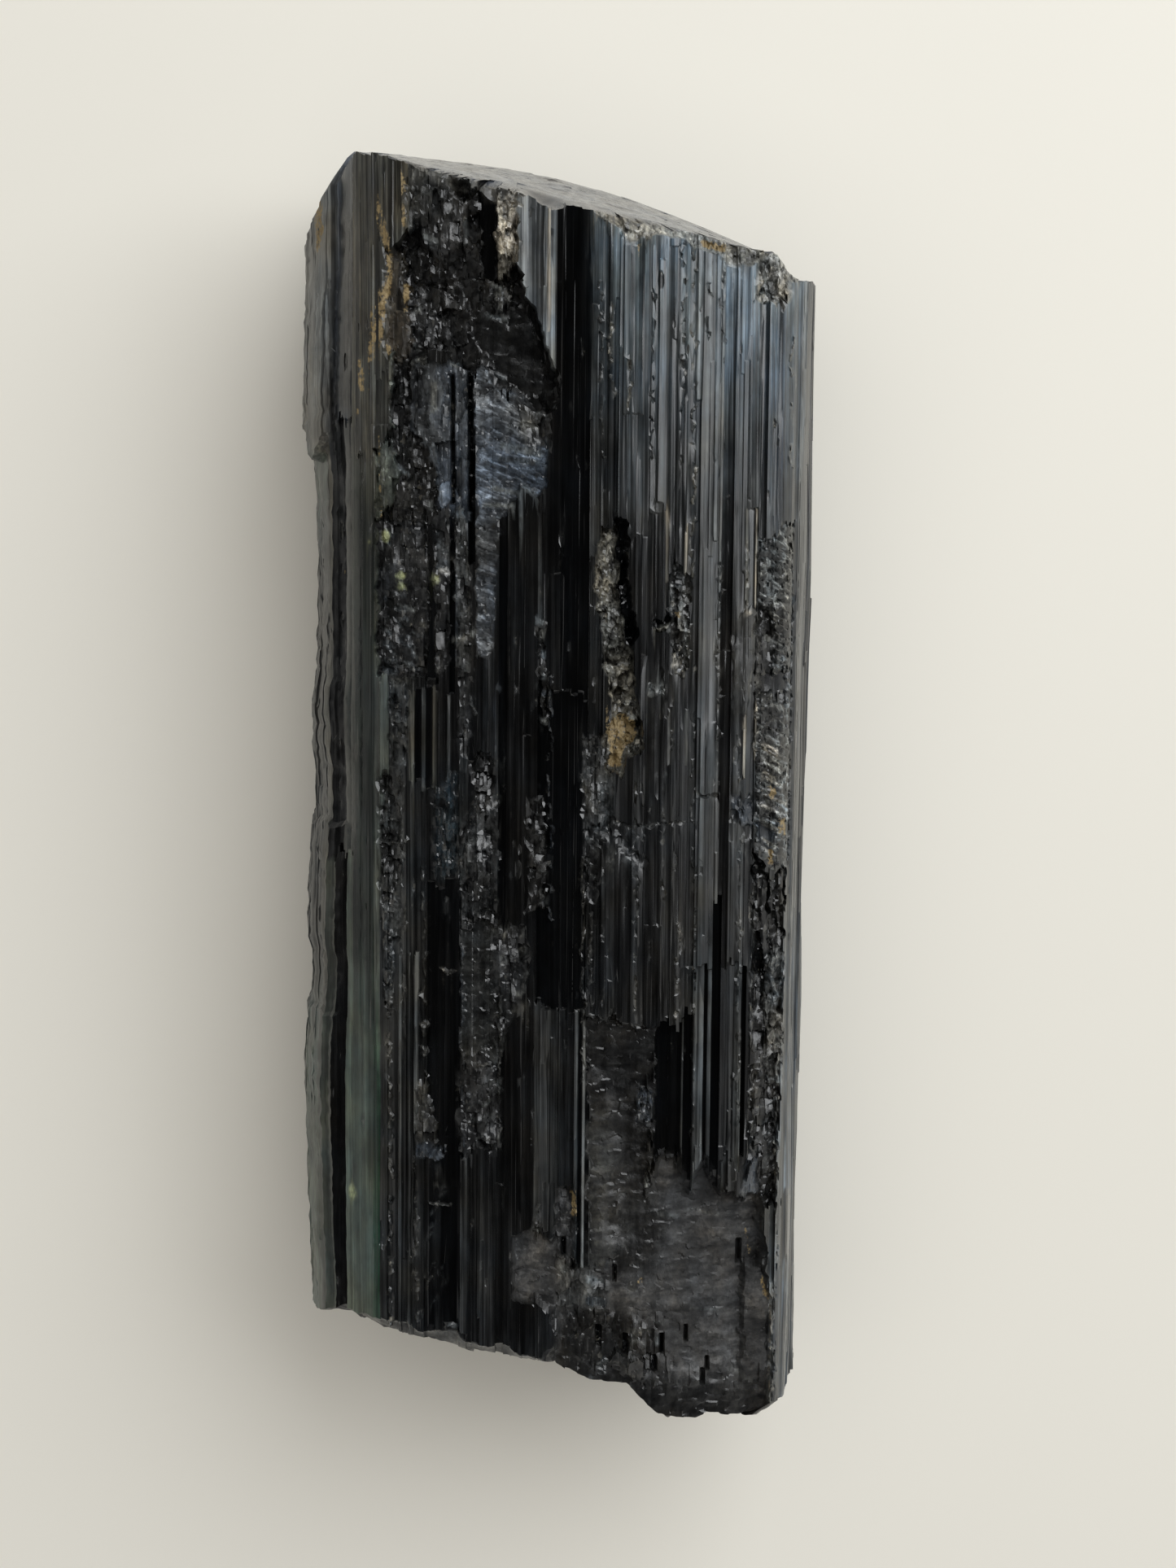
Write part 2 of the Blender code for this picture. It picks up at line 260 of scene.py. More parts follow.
class Ribs:
    """Fine parallel ribs round the section: flat strips with their own level and tilt, renewed along Y."""

    def __init__(self, total, widths, level, tilt_deg, run, seed):
        rng = np.random.default_rng(seed)
        edges = np.cumsum(rng.uniform(*widths, int(total / widths[0]) + 2))
        self.edges = np.concatenate([[0.0], edges[edges < total - widths[0]], [total]])
        self.level, self.slope, self.run, self.seed = level, tan(radians(tilt_deg)), run, seed

    def cells(self, round_at, y):
        """Which strip each place is on, and which length of it."""
        column = np.searchsorted(self.edges, round_at, side="right") - 1
        column = np.clip(column, 0, len(self.edges) - 2)
        cell = column[:, None] + np.zeros_like(y)
        length = self.run * (0.4 + 1.2 * lattice(cell, np.zeros_like(cell), self.seed))
        return column, cell, np.floor(y / length + 9.7 * lattice(cell, np.ones_like(cell), self.seed))

    def heights(self, round_at, y):
        """The strips' own heights in millimetres."""
        column, cell, length = self.cells(round_at, y)
        middle = (self.edges[column] + self.edges[column + 1]) / 2
        level = self.level * (2 * lattice(cell, length, self.seed + 1) - 1)
        slope = self.slope * turned(lattice(cell, length, self.seed + 2))
        return level + slope * (round_at - middle)[:, None]

    def random(self, round_at, y, salt):
        """A random number from 0 to 1 for each length of strip."""
        _, cell, length = self.cells(round_at, y)
        return lattice(cell, length, self.seed + salt)


# --- Columns of the front face and upper flanks -------------------------------------------------------------

# The main columns, from left to right. Each has its seen X from and to where it crosses Y = 0, its level, its
# tilt to the right in degrees, and its shades in the upper, middle and lower parts, which blend over FADES.
# On the right half the paler upper shades are partly painted sheen, for window light reflected there.
FADES = ((20.0, 38.0), (-10.0, -26.0))
COLUMNS = (
    (-24.0, -19.9, 0.00, 0, "lichen", "grey", "lichen"),
    (-19.9, -19.3, -0.05, 6, "brown", "brown", "fern"),
    (-19.3, -18.3, -0.50, 34, "grey", "soot", "soot"),
    (-18.3, -17.7, -0.20, 16, "grey", "green", "mint"),
    (-17.7, -16.7, 0.00, 6, "brown", "green", "mint"),
    (-16.7, -15.7, 0.00, 6, "brown", "green", "mint"),
    (-15.7, -15.2, -0.10, -2, "brown", "moss", "bottle"),
    (-15.2, -14.3, -0.20, 4, "brown", "grey", "coal"),
    (-14.3, -13.3, -0.25, 2, "grey", "grey", "dark"),
    (-13.3, -12.3, -0.15, -4, "coal", "coal", "dark"),
    (-12.3, -11.3, -0.30, 7, "coal", "dark", "dark"),
    (-11.3, -8.4, -0.55, -5, "dark", "soot", "soot"),
    (-8.4, -7.6, -0.25, 5, "dark", "coal", "dark"),
    (-7.6, -6.4, -0.40, -3, "dark", "soot", "dark"),
    (-6.4, -5.0, -0.30, 4, "dark", "dark", "dark"),
    (-5.0, -4.3, -0.75, 0, "soot", "black", "soot"),
    (-4.3, -2.6, -0.20, -4, "soot", "soot", "soot"),
    (-2.6, -1.4, -0.28, -4, "soot", "soot", "soot"),
    (-1.4, 0.3, -0.45, -5, "soot", "soot", "dark"),
    (0.3, 2.7, -0.70, -8, "black", "black", "coal"),
    (2.7, 4.0, -0.35, -4, "coal", "dark", "grey"),
    (4.0, 5.2, -0.05, -2, "coal", "dark", "coal"),
    (5.2, 6.6, 0.05, 2, "coal", "soot", "dark"),
    (6.6, 7.8, 0.12, 3, "coal", "dark", "dark"),
    (7.8, 9.0, 0.02, -2, "coal", "soot", "dark"),
    (9.0, 10.2, 0.08, 3, "coal", "dark", "soot"),
    (10.2, 11.4, -0.05, 1, "coal", "dark", "coal"),
    (11.4, 12.1, -0.12, -3, "steel", "coal", "grey"),
    (12.1, 14.1, 0.20, 5, "pale", "iron", "iron"),
    (14.1, 15.0, -0.40, -8, "steel", "soot", "soot"),
    (15.0, 16.1, 0.02, 2, "steel", "grey", "grey"),
    (16.1, 17.2, -0.10, 0, "grey", "grey", "dark"),
    (17.2, 17.8, -0.60, -6, "navy", "coal", "coal"),
    (17.8, 19.2, -0.10, 2, "blue", "grey", "coal"),
    (19.2, 19.8, -0.20, 4, "grey", "grey", "iron"),
    (19.8, 20.5, -0.15, -3, "grey", "grey", "dark"),
    (20.5, 24.0, 0.00, 0, "silver", "coal", "black"),
)

# Lengths of column that differ from the main ones. Seen X from and to at their middle, seen Y from and to,
# level, tilt and shade.
LENGTHS = (
    (-20.3, -18.8, 31, 56, 0.00, 3, "pale"),
    (-18.7, -17.2, 33, 56, -0.25, 12, "slate"),
    (-18.0, -17.3, 34, 50, -0.40, 12, "dark"),
    (-22.5, -20.9, 30, 41, 0.00, 0, "fern"),
    (-19.8, -19.1, -60, -5, -0.05, 6, "fern"),
    (-19.1, -18.3, -60, -4, -0.50, 34, "soot"),
    (-18.3, -17.8, -60, -4, -0.10, 10, "mint"),
    (-16.9, -15.3, 30, 60, 0.10, 5, "brown"),
    (-15.3, -13.6, 37, 60, 0.00, -2, "brown"),
    (-13.6, -12.3, 48, 60, -0.10, 4, "brown"),
    (-12.3, -11.0, 44, 60, -0.45, 8, "iron"),
    (-3.4, -2.4, 34, 60, -0.15, 12, "silver"),
    (-2.4, -1.6, 34, 60, -0.30, 5, "steel"),
    (-1.6, -1.0, 33, 60, -0.45, -4, "steel"),
    (-1.0, 0.1, 34, 60, -0.05, 12, "silver"),
    (-0.6, -0.3, 40, 60, 0.05, 12, "cream_highlight"),
    (-11.2, -10.1, 11.5, 20, -0.90, -4, "black"),
    (-10.1, -9.0, 15, 27, -0.65, 8, "grey"),
    (-9.0, -8.6, 10, 38, -1.2, -4, "black"),
    (-8.6, -7.4, 13, 31, -0.50, 7, "slate"),
    (-7.4, -6.9, 22, 38, -1.7, -8, "black"),
    (-15.2, -14.4, -1, 11.4, 0.10, 8, "moss"),
    (-12.7, -12.2, 3, 11, -0.10, 8, "brown"),
    (-12.2, -11.6, 3, 11, -0.50, -4, "black"),
    (-11.6, -11.3, 2, 11, -0.20, 10, "iron"),
    (-11.3, -10.6, 2, 11, -0.55, -2, "black"),
    (-10.6, -10.3, 2, 11, -0.30, 8, "brown"),
    (-9.4, -9.1, 2, 10, -0.30, 9, "iron"),
    (-8.3, -7.7, 4, 12, -0.20, 7, "iron"),
    (-11.3, -8.3, -30, -6, -0.75, -5, "black"),
    (-11.3, -8.3, -46, -29, -0.65, -3, "black"),
    (-13.1, -12.8, -50, -12, 0.05, 12, "iron"),
    (-13.9, -13.6, -50, -12, 0.00, 10, "iron"),
    (-12.4, -12.0, -28, -12, 0.10, 10, "iron"),
    (-8.5, -7.9, -46, -30, 0.00, 9, "grey"),
    (-7.0, -6.6, -46, -30, -0.25, 9, "grey"),
    (-2.0, -1.5, -38, -18, -0.20, 10, "coal"),
    (-1.5, -0.6, -38, -18, -0.25, 5, "grey"),
    (-0.6, 0.3, -38, -18, -0.40, -3, "coal"),
    (0.3, 1.5, -34, -18, -0.70, -4, "dark"),
    (1.5, 1.9, -41, -18, -0.45, 12, "iron"),
    (1.9, 2.2, -41, -18, -0.70, -8, "black"),
    (2.2, 2.5, -41, -18, -0.45, 12, "pale"),
    (2.5, 2.9, -41, -18, -0.75, -8, "black"),
    (-1.6, 2.6, -18, 10, -0.70, -8, "black"),
    (2.9, 3.4, 22, 34, -0.10, 8, "coal"),
    (12.0, 12.6, 36, 50, 0.10, 6, "silver"),
    (13.1, 14.1, -12, 1, 0.15, 3, "grey"),
    (16.2, 17.2, -18, 0, -0.15, 0, "dark"),
    (3.4, 4.6, 23, 50, -0.30, -3, "coal"),
    (5.0, 5.4, 25, 43, -0.30, -10, "dark"),
    (5.4, 7.2, 24, 48.4, 0.15, 4, "coal"),
    (7.2, 8.5, 24, 48, 0.05, 2, "coal"),
    (8.8, 9.6, 27, 47.5, 0.20, 7, "coal"),
    (13.6, 13.9, 23, 47.5, 0.35, 12, "silver"),
    (8.6, 10.9, -30.5, -18.5, -1.6, -6, "black"),
    (10.9, 11.15, -30, -18, -0.90, 10, "iron"),
    (11.15, 11.9, -33, -17, -1.40, -6, "black"),
    (11.9, 12.9, -30.2, -14, -0.10, 5, "iron"),
    (12.9, 13.1, -32, -14, -0.70, -6, "black"),
    (13.1, 13.6, -31.6, -14, -0.20, 8, "iron"),
    (13.6, 14.3, -34, -8, -1.00, -12, "black"),
    (14.3, 15.2, -31.2, -14, -0.25, 4, "dark"),
    (14.5, 15.1, -34.4, -31.2, -0.50, 4, "iron"),
    (15.2, 16.2, -31.8, -14, -0.35, 2, "iron"),
    (16.2, 16.5, -31, -14, -1.1, -8, "black"),
    (16.5, 17.4, -29, -14, -0.20, 6, "soot"),
    (19.65, 20.05, -34, -8, 0.05, 3, "steel"),
    (20.30, 20.60, -46, -6, -0.35, 0, "black"),
    (19.30, 19.75, -42, -28, 0.10, 6, "silver"),
    (19.10, 19.25, -58, -42, -0.20, 6, "coal"),
    (19.25, 20.10, -58, -40, -0.05, -3, "steel"),
    (20.10, 20.30, -56, -40, -0.20, 0, "dark"),
    (20.30, 20.80, -56, -38, 0.00, 0, "iron"),
    # Narrow pale lines: painted highlights, where rib edges catch the light.
    (9.5, 9.75, 20, 26.5, 0.05, 10, "cream_highlight"),
    (20.75, 20.95, 5, 10, 0.05, 0, "cream_highlight"),
    (16.15, 16.4, 3, 9, 0.10, 12, "cream_highlight"),
    (17.1, 17.3, 4.5, 9, 0.05, 12, "cream_highlight"),
    (11.05, 11.35, 19, 25, 0.05, 12, "cream_highlight"),
    (16.25, 16.45, 18, 26, 0.05, 12, "pale"),
    (17.12, 17.3, 17.5, 26, 0.05, 12, "cream_highlight"),
    (9.7, 9.9, 4, 9, 0.00, 12, "pale"),
    (11.2, 11.4, 4, 9, 0.00, 12, "pale"),
    (18.75, 19.10, -58, -42, 0.02, 6, "silver"),
    (18.90, 19.00, -52, -43, 0.05, 6, "cream_highlight"),
)


def add_columns(shape):
    """Lays the main columns, then the lengths that differ from them."""
    for left, right, level, tilt, upper, middle, lower in COLUMNS:
        shape.column((left, right), (-90, 90), level, tilt, middle, crossing=0.0)
        shape.tint((left, right), FADES[0], upper)
        shape.tint((left, right), FADES[1], lower)
    for left, right, low, high, level, tilt, shade in LENGTHS:
        shape.column((left, right), (low, high), level, tilt, shade)


# --- The sampled surface ------------------------------------------------------------------------------------


def inside_distance(x, y, outline):
    """Distance from each place to the outline's edge, positive inside it."""
    nearest = np.full(np.shape(x), np.inf)
    odd = np.zeros(np.shape(x), dtype=bool)
    for (x0, y0), (x1, y1) in zip(outline, outline[1:] + outline[:1]):
        run_x, run_y = x1 - x0, y1 - y0
        share = np.clip(((x - x0) * run_x + (y - y0) * run_y) / (run_x**2 + run_y**2), 0, 1)
        nearest = np.minimum(nearest, np.hypot(x - x0 - share * run_x, y - y0 - share * run_y))
        if y0 != y1:
            odd ^= ((y0 > y) != (y1 > y)) & (x < run_x * (y - y0) / run_y + x0)
    return np.where(odd, nearest, -nearest)


# The smooth break, as heights along Y: at the front edge's middle, its slope across, and how each part leans.
SMOOTH_END = 51.2
SMOOTH_END_ACROSS = -0.24
SMOOTH_END_OUTWARD = 0.26
SMOOTH_END_TURN_Z = 15.0
SMOOTH_END_UNDERCUT = 0.16


def smooth_end(x, z):
    """Y of the smooth oblique break: it leans out below the front edge, and its corners are broken away."""
    bulge = np.cos(np.clip(x / 29.0, -1, 1) * pi / 2)
    face = SMOOTH_END + SMOOTH_END_ACROSS * x
    face = face + SMOOTH_END_OUTWARD * bulge * (FRONT_Z - np.maximum(z, SMOOTH_END_TURN_Z))
    face = face - SMOOTH_END_UNDERCUT * np.maximum(0, SMOOTH_END_TURN_Z - z)
    left = 9.5 * np.clip((-17.5 - x) / 5.5, 0, 1.2) ** 1.3
    right = 1.6 * np.clip((x - 18.4) / 1.8, 0, 1)
    notch = 0.7 * np.exp(-(((x + 1.0) / 1.4) ** 2)) * smooth_between(z, 27.0, 29.5)
    return face - left - right - notch


ROUGH_END_LINE = (
    (-24.0, -44.3), (-21.3, -44.8), (-17.6, -45.6), (-14.5, -46.8), (-10.5, -47.6), (-6.5, -48.2),
    (-3.0, -48.7), (-0.5, -49.0), (1.0, -49.8), (3.5, -51.1), (6.8, -51.6), (8.0, -53.0), (9.6, -54.7),
    (13.0, -55.2), (14.0, -54.8), (17.0, -55.3), (19.0, -54.6), (19.8, -53.9), (21.0, -54.4), (24.0, -54.4),
)


def rough_end(x, z):
    """Y of the hackly break, which keeps much the same line from the front face down to the base."""
    line_x, line_y = np.array(ROUGH_END_LINE).T
    low_corner = 2.6 * smooth_between(x, -16.5, -20.8) * smooth_between(z, 27.0, 19.0)
    low_corner = low_corner * smooth_between(z, 2.0, 12.0)
    return np.interp(x, line_x, line_y) + 0.02 * (FRONT_Z - z) * np.sin(x * 0.35) - low_corner


# How far the thin crystal and the flake stand out of the flanks, the flake's lower end, and the heights
# between which what happens on the flanks fades out towards the front face.
COMPANION_STANDS = 0.8
COMPANION_TOP = 24.8
FLAKE_STANDS = 0.95
FLAKE_END = 31.5
FLANK_FADE = (27.5, 23.0)

# Heights on the section between which the surface stops being moved outwards and is moved upwards instead.
UPWARD = (21.8, 24.4)

# How far the left flank stands out, as Y and millimetres.
LEFT_FLANK = (
    (-60, 0.3), (-44, 0.3), (-41, 0.45), (-36, 0.6), (-33, 0.6), (-31, 0.75), (-24, 0.8), (-21, 0.55),
    (-19.2, 0.5), (-18.8, 0.2), (-14, 0.05), (-12.6, 0.5), (-7, 0.42), (-2.2, 0.05), (-1.7, -0.3), (3, -0.3),
    (4.2, -0.05), (9, 0.05), (12, -0.35), (29, -0.4), (32, -0.1), (45, -0.45), (60, -0.45),
)


def smooth_between(value, nought, one):
    """0 at nought, 1 at one, and smooth between them."""
    share = np.clip((value - nought) / (one - nought), 0, 1)
    return share * share * (3 - 2 * share)


class Surface:
    """Heights above the plain section, albedo and roughness, at each distance round and along."""

    def __init__(self, section):
        self.section = section
        self.coarse = Ribs(section.total, (0.6, 1.8), 0.10, 9, 34, SEED + 1)
        self.fine = Ribs(section.total, (0.22, 0.55), 0.045, 17, 26, SEED + 5)
        self.hair = Ribs(section.total, (0.12, 0.28), 0.014, 18, 18, SEED + 9)
        self.round = self.sample_places()
        self.points = section.at(self.round)
        self.normal = section.normal_at(self.round)
        self.across = seen_across(self.points)
        self.seen = (self.points[:, 1] > 13.0) & (self.round < section.base_start)
        self.place_rows()
        shape = self.y.shape
        self.height = np.zeros(shape)
        self.form = self.flank_forms()
        edge = np.where(self.points[:, :1] > 0, 25.3, 23.5)
        self.facing = smooth_between(self.points[:, 1:] - edge, -0.4, 0.4)
        self.ribbing = np.ones(shape)
        self.albedo = np.tile(np.array(SHADES["dark"][0]), (*shape, 1))
        self.rough = np.full(shape, SHADES["dark"][1])
        for name in ("stain", "rugged", "glitter", "layered", "feather"):
            setattr(self, name, np.zeros(shape))
        self.stagger = 1.6 * (self.coarse.random(self.round, np.zeros_like(self.y), 5) - 0.5)
        self.stagger = self.stagger + 0.9 * (self.fine.random(self.round, np.zeros_like(self.y), 5) - 0.5)

    def round_of_seen(self, across):
        """The distance round of the place seen at that X."""
        order = np.argsort(self.across[self.seen])
        return float(np.interp(across, self.across[self.seen][order], self.round[self.seen][order]))

    def sample_places(self):
        """Distances round at which to sample: close together in front, with a pair at each rib's edge."""
        section = self.section
        trial = np.linspace(0, section.total, 4000)
        points = section.at(trial)
        in_sight = (points[:, 1] > 12.0) & (trial < section.base_start)
        first, last = trial[in_sight][0], trial[in_sight][-1]
        order = np.argsort(seen_across(points[in_sight]))
        marks = [self.coarse.edges[1:-1]]
        strip_edges = np.array([column[0] for column in COLUMNS[1:]])
        marks.append(np.interp(strip_edges, seen_across(points[in_sight])[order], trial[in_sight][order]))
        fine = self.fine.edges
        marks.append(fine[(fine > first) & (fine < last)])
        marks = np.sort(np.concatenate([[0.0, section.base_start, section.total], *marks]))
        marks = marks[np.concatenate([[True], np.diff(marks) > 3 * EDGE_GAP])]
        places = [0.0]
        for low, high in zip(marks, marks[1:]):
            step = SEEN_STEP if first < (low + high) / 2 < last else HIDDEN_STEP
            count = max(2, int(round((high - low) / step)) + 1)
            places += list(np.linspace(low + EDGE_GAP, high - EDGE_GAP, count))
        return np.array(places)

    def place_rows(self):
        """Rows of places from the rough end to the smooth end, both of them ragged."""
        x, z = self.points.T
        ends = []
        for line, ragged, salt in ((rough_end, 0.16, 3), (smooth_end, 0.30, 4)):
            y = line(x, z)
            flat = np.zeros((len(x), 1))
            jitter = self.coarse.random(self.round, flat, salt)[:, 0] - 0.5
            jitter += 0.6 * (self.fine.random(self.round, flat, salt)[:, 0] - 0.5)
            ends.append(y + ragged * jitter)
        low, high = ends
        count = int((high - low).max() / ROW_STEP)
        self.y = low[:, None] + (high - low)[:, None] * np.linspace(0, 1, count)
        self.along = seen_along(self.y, self.points)
        self.seen_x = self.across[:, None] + AXIS_LEAN * self.along

    def flank_forms(self):
        """The thin crystal on the right flank, the flake on the left one, and the flanks' own swells."""
        x, z = (values[:, None] for values in self.points.T)
        outside = smooth_between(z, *FLANK_FADE)
        shoulder = 0.25 * smooth_between(z, COMPANION_TOP + 0.35, COMPANION_TOP)
        shoulder = shoulder + 0.75 * smooth_between(z, COMPANION_TOP + 0.2, COMPANION_TOP - 3.3)
        right = (x > 0) * smooth_between(z, 7.5, 9.5) * shoulder
        flake = (x < 0) * smooth_between(z, 9.5, 11.0) * smooth_between(z, 23.0, 22.2)
        flake_end = FLAKE_END + 2.2 * value_noise(z * 0.35, z * 0, 111)
        flake = flake * smooth_between(self.y, flake_end, flake_end + 0.3)
        groove = (x > 0) * np.exp(-(((z - COMPANION_TOP - 0.7) / 0.3) ** 2))
        swell = 0.16 * fractal(self.round[:, None] * 0.11, self.y * 0.05, 113, 3)
        flank_y, flank_out = np.array(LEFT_FLANK).T
        nibble = 0.10 * fractal(self.y * 0.9, z * 0.4, 117, 3)
        uneven_y = self.y + 0.6 * value_noise(z * 0.8, 0 * z, 119)
        left = (x < 0) * (np.interp(uneven_y, flank_y, flank_out) + nibble)
        left = left * np.exp(-((np.minimum(z - 14.5, 0.0) / 5.0) ** 2))
        stands = COMPANION_STANDS * np.interp(self.y, (-55.0, -10.0, 25.0), (0.5, 0.65, 1.0))
        return stands * right + FLAKE_STANDS * flake - 0.12 * groove + outside * (swell + left)

    def window(self, left, right, low, high):
        """The columns, by seen X where they cross Y = 0, and the rows that a box can touch."""
        columns = np.nonzero(self.seen & (self.across > left) & (self.across < right))[0]
        if not len(columns):
            return None
        along = self.along[columns]
        rows = np.nonzero(((along > low) & (along < high)).any(axis=0))[0]
        if not len(rows):
            return None
        return slice(columns[0], columns[-1] + 1), slice(rows[0], rows[-1] + 1)

    def blend(self, name, part, mask, value):
        """Moves a field towards a value, by the mask."""
        field = getattr(self, name)
        field[part] += (value - field[part]) * mask

    def paint(self, part, mask, shade, grain=(0.0, 0.0, 0.0, 0.0), relief_shading=None):
        """Gives a place its shade and its grain. High ground is painted paler and hollows darker: painted
        light and shade.
        """
        albedo, rough, ribbing = SHADES[shade]
        albedo = np.array(albedo)
        if relief_shading is not None:
            albedo = albedo * np.exp(relief_shading)[..., None]
        self.blend("albedo", part, mask[..., None], albedo)
        names = ("rough", "ribbing", "rugged", "glitter", "layered", "feather")
        for name, value in zip(names, (rough, ribbing, *grain)):
            self.blend(name, part, mask, value)

    def tint(self, across, fade, shade):
        """Blends a main column's shade into another one towards an end."""
        part = self.window(*across, -90, 90)
        if part is not None:
            self.paint(part, smooth_between(self.along[part] + 3 * self.stagger[part], *fade), shade)

    def column(self, across, along, level, tilt_deg, shade, crossing=None, ragged=1.0):
        """A flat column: it stands at a level, leans to the right, and ends raggedly."""
        low, high = along
        crossing = (low + high) / 2 if crossing is None else crossing
        left, right = (x - AXIS_LEAN * crossing for x in across)
        part = self.window(left, right, low - 2 * ragged, high + 2 * ragged)
        if part is None:
            return
        y = self.along[part] + ragged * self.stagger[part]
        mask = np.clip((y - low) / 0.1, 0, 1) * np.clip((high - y) / 0.1, 0, 1)
        middle = self.round_of_seen((left + right) / 2)
        height = level - tan(radians(tilt_deg)) * (middle - self.round[part[0]])[:, None]
        in_front = self.facing[part[0]] if high - low < 90 else 1.0
        self.height[part] += (height - self.height[part]) * mask * in_front
        self.paint(part, mask, shade)

    def broken(self, outline, level, texture, shade, slope=(0.0, 0.0), stagger=0.5, soft=0.12):
        """A place where the columns have snapped out, down to an uneven floor."""
        corners = np.array(outline)
        (left, low), (right, high) = corners.min(axis=0) - 1.5, corners.max(axis=0) + 1.5
        lean = AXIS_LEAN * max(abs(low), abs(high))
        part = self.window(left - lean, right + lean, low, high)
        if part is None:
            return
        x, along = self.seen_x[part], self.along[part]
        wobble = 0.25 * fractal(x * 1.1, along * 1.1, SEED + 21, 3)
        distance = inside_distance(x + wobble, along + stagger * self.stagger[part] + wobble, outline)
        mask = np.clip(0.5 + distance / soft, 0, 1) * self.facing[part[0]]
        middle = corners.mean(axis=0)
        height = level + slope[0] * (x - middle[0]) + slope[1] * (along - middle[1])
        rise = texture(-self.round[part[0]][:, None], self.y[part])
        self.height[part] += (height + rise - self.height[part]) * mask
        # Painted light and shade: the texture's high ground is made paler and its hollows darker.
        relief_shading = RELIEF_SHADING[texture] * np.clip((rise - rise.mean()) / (rise.std() + 1e-9), -2.2, 2.2)
        self.paint(part, mask, shade, GRAIN[texture], relief_shading)

    def marked(self, outline, shade, sink):
        """A small patch of another shade, sunk below the ground by a share of a millimetre."""
        corners = np.array(outline)
        (left, low), (right, high) = corners.min(axis=0) - 0.5, corners.max(axis=0) + 0.5
        lean = AXIS_LEAN * max(abs(low), abs(high))
        part = self.window(left - lean, right + lean, low, high)
        if part is None:
            return
        distance = inside_distance(self.seen_x[part], self.along[part], outline)
        mask = np.clip(0.5 + distance / 0.16, 0, 1) * self.facing[part[0]]
        self.height[part] -= sink * mask
        self.paint(part, mask, shade, (0.7, 0.3, 0.0, 0.0))

    def plain_flanks(self):
        """The flanks keep to the ordinary dark ribs below what the columns' shades reach."""
        low = np.where(self.points[:, :1] > 0, 17.0, 12.5)
        plain = 1 - smooth_between(self.points[:, 1:] - low, 0.0, 4.0) + 0 * self.y
        plain = plain * (0.8 + 0.4 * value_noise(self.round[:, None] * 0.6, self.y * 0.06, 161))
        self.paint((slice(None), slice(None)), np.clip(plain, 0, 1), "coal")

    def worn_end(self, across, at_top, reach, depth, texture, shade):
        """The rough bevel where a broken end meets the front face."""
        part = self.window(across[0], across[1], -70, 70)
        y = self.y[part]
        from_end = (y[:, -1:] - y) if at_top else (y - y[:, :1])
        x = self.across[part[0]][:, None]
        sides = np.clip((x - across[0]) / 1.5, 0, 1) * np.clip((across[1] - x) / 1.5, 0, 1)
        reach = reach * sides * (0.75 + 0.5 * value_noise(x * 0.7, y * 0.5, 115)) + 0.01
        share = np.clip(1 - from_end / reach, 0, 1)
        mask = np.clip(share * 6, 0, 1) * self.facing[part[0]]
        height = self.height[part] - depth * share * sides + 0.5 * texture(-self.round[part[0]][:, None], y)
        self.height[part] += (height - self.height[part]) * mask
        self.paint(part, mask, shade, GRAIN[texture])

    def nicks(self, size, share, depth, seed):
        """Chips knocked out of the ribs, here and there."""
        at_x = self.round[:, None] / size
        column = np.floor(at_x)
        at_y = self.y / (3.2 * size) + 7.3 * lattice(column, 0 * column, seed)
        row = np.floor(at_y)
        gathered = share * (1 + value_noise(at_x * 0.07, at_y * 0.1, seed + 3))
        chosen = lattice(column, row, seed + 1) < gathered
        middle_x, middle_y = (0.3 + 0.4 * lattice(column, row, seed + salt) for salt in (4, 5))
        apart = np.hypot((at_x - column - middle_x) / 0.3, (at_y - row - middle_y) / 0.3)
        mask = chosen * np.clip((1.0 - apart) / 0.2, 0, 1) * np.clip(self.ribbing, 0, 1)
        self.height -= depth * mask
        everywhere = (slice(None), slice(None))
        self.paint(everywhere, mask, "grey", (0.7, 0.6, 0.0, 0.0))

    def stained(self, outline, strength=1.0, soft=0.5):
        """Marks a place as stained by iron."""
        corners = np.array(outline)
        (left, low), (right, high) = corners.min(axis=0) - 1.0, corners.max(axis=0) + 1.0
        lean = AXIS_LEAN * max(abs(low), abs(high))
        part = self.window(left - lean, right + lean, low, high)
        if part is None:
            return
        distance = inside_distance(self.seen_x[part], self.along[part], outline)
        mask = strength * np.clip(0.5 + distance / soft, 0, 1)
        self.stain[part] = np.maximum(self.stain[part], mask)

    def finish(self):
        """Adds the ribs. The base keeps its ribs above the table."""
        ribs = sum(layer.heights(self.round, self.y) for layer in (self.coarse, self.fine, self.hair))
        front, flank = (smooth_between(self.points[:, 1:], *span) for span in ((26.0, 28.5), (22.0, 18.0)))
        calm = 0.5 + 0.5 * front + 0.9 * flank
        height = self.height + self.ribbing * calm * ribs
        base = self.round >= self.section.base_start
        height[base] = -0.02 - 0.6 * np.abs(height[base] + self.form[base])
        self.form[base] = 0.0
        return height


# --- Broken textures, as heights in millimetres at places in millimetres ------------------------------------


def small_planes(x, y, cell, steepness, seed, stretch=1.0):
    """Scattered small planes, as heights in millimetres."""
    return steepness * cell * facets(x, y, cell, seed, stretch)


def hackly(x, y):
    """Short upright splinters in two sizes."""
    rough = splinters(x, y, 0.95, 1.7, 0.34, 31) + splinters(x, y, 0.42, 0.8, 0.28, 37)
    return rough + 0.30 * fractal(x * 0.5, y * 0.3, 33, 4)


def lumpy(x, y):
    """Blunt lumps with planes broken across them."""
    rough = small_planes(x, y, 1.7, 0.32, 43, 1.4) + small_planes(x, y, 0.7, 0.20, 47, 1.2)
    return 0.45 * fractal(x * 0.40, y * 0.34, 41, 3) + rough + splinters(x, y, 0.4, 0.8, 0.16, 45)


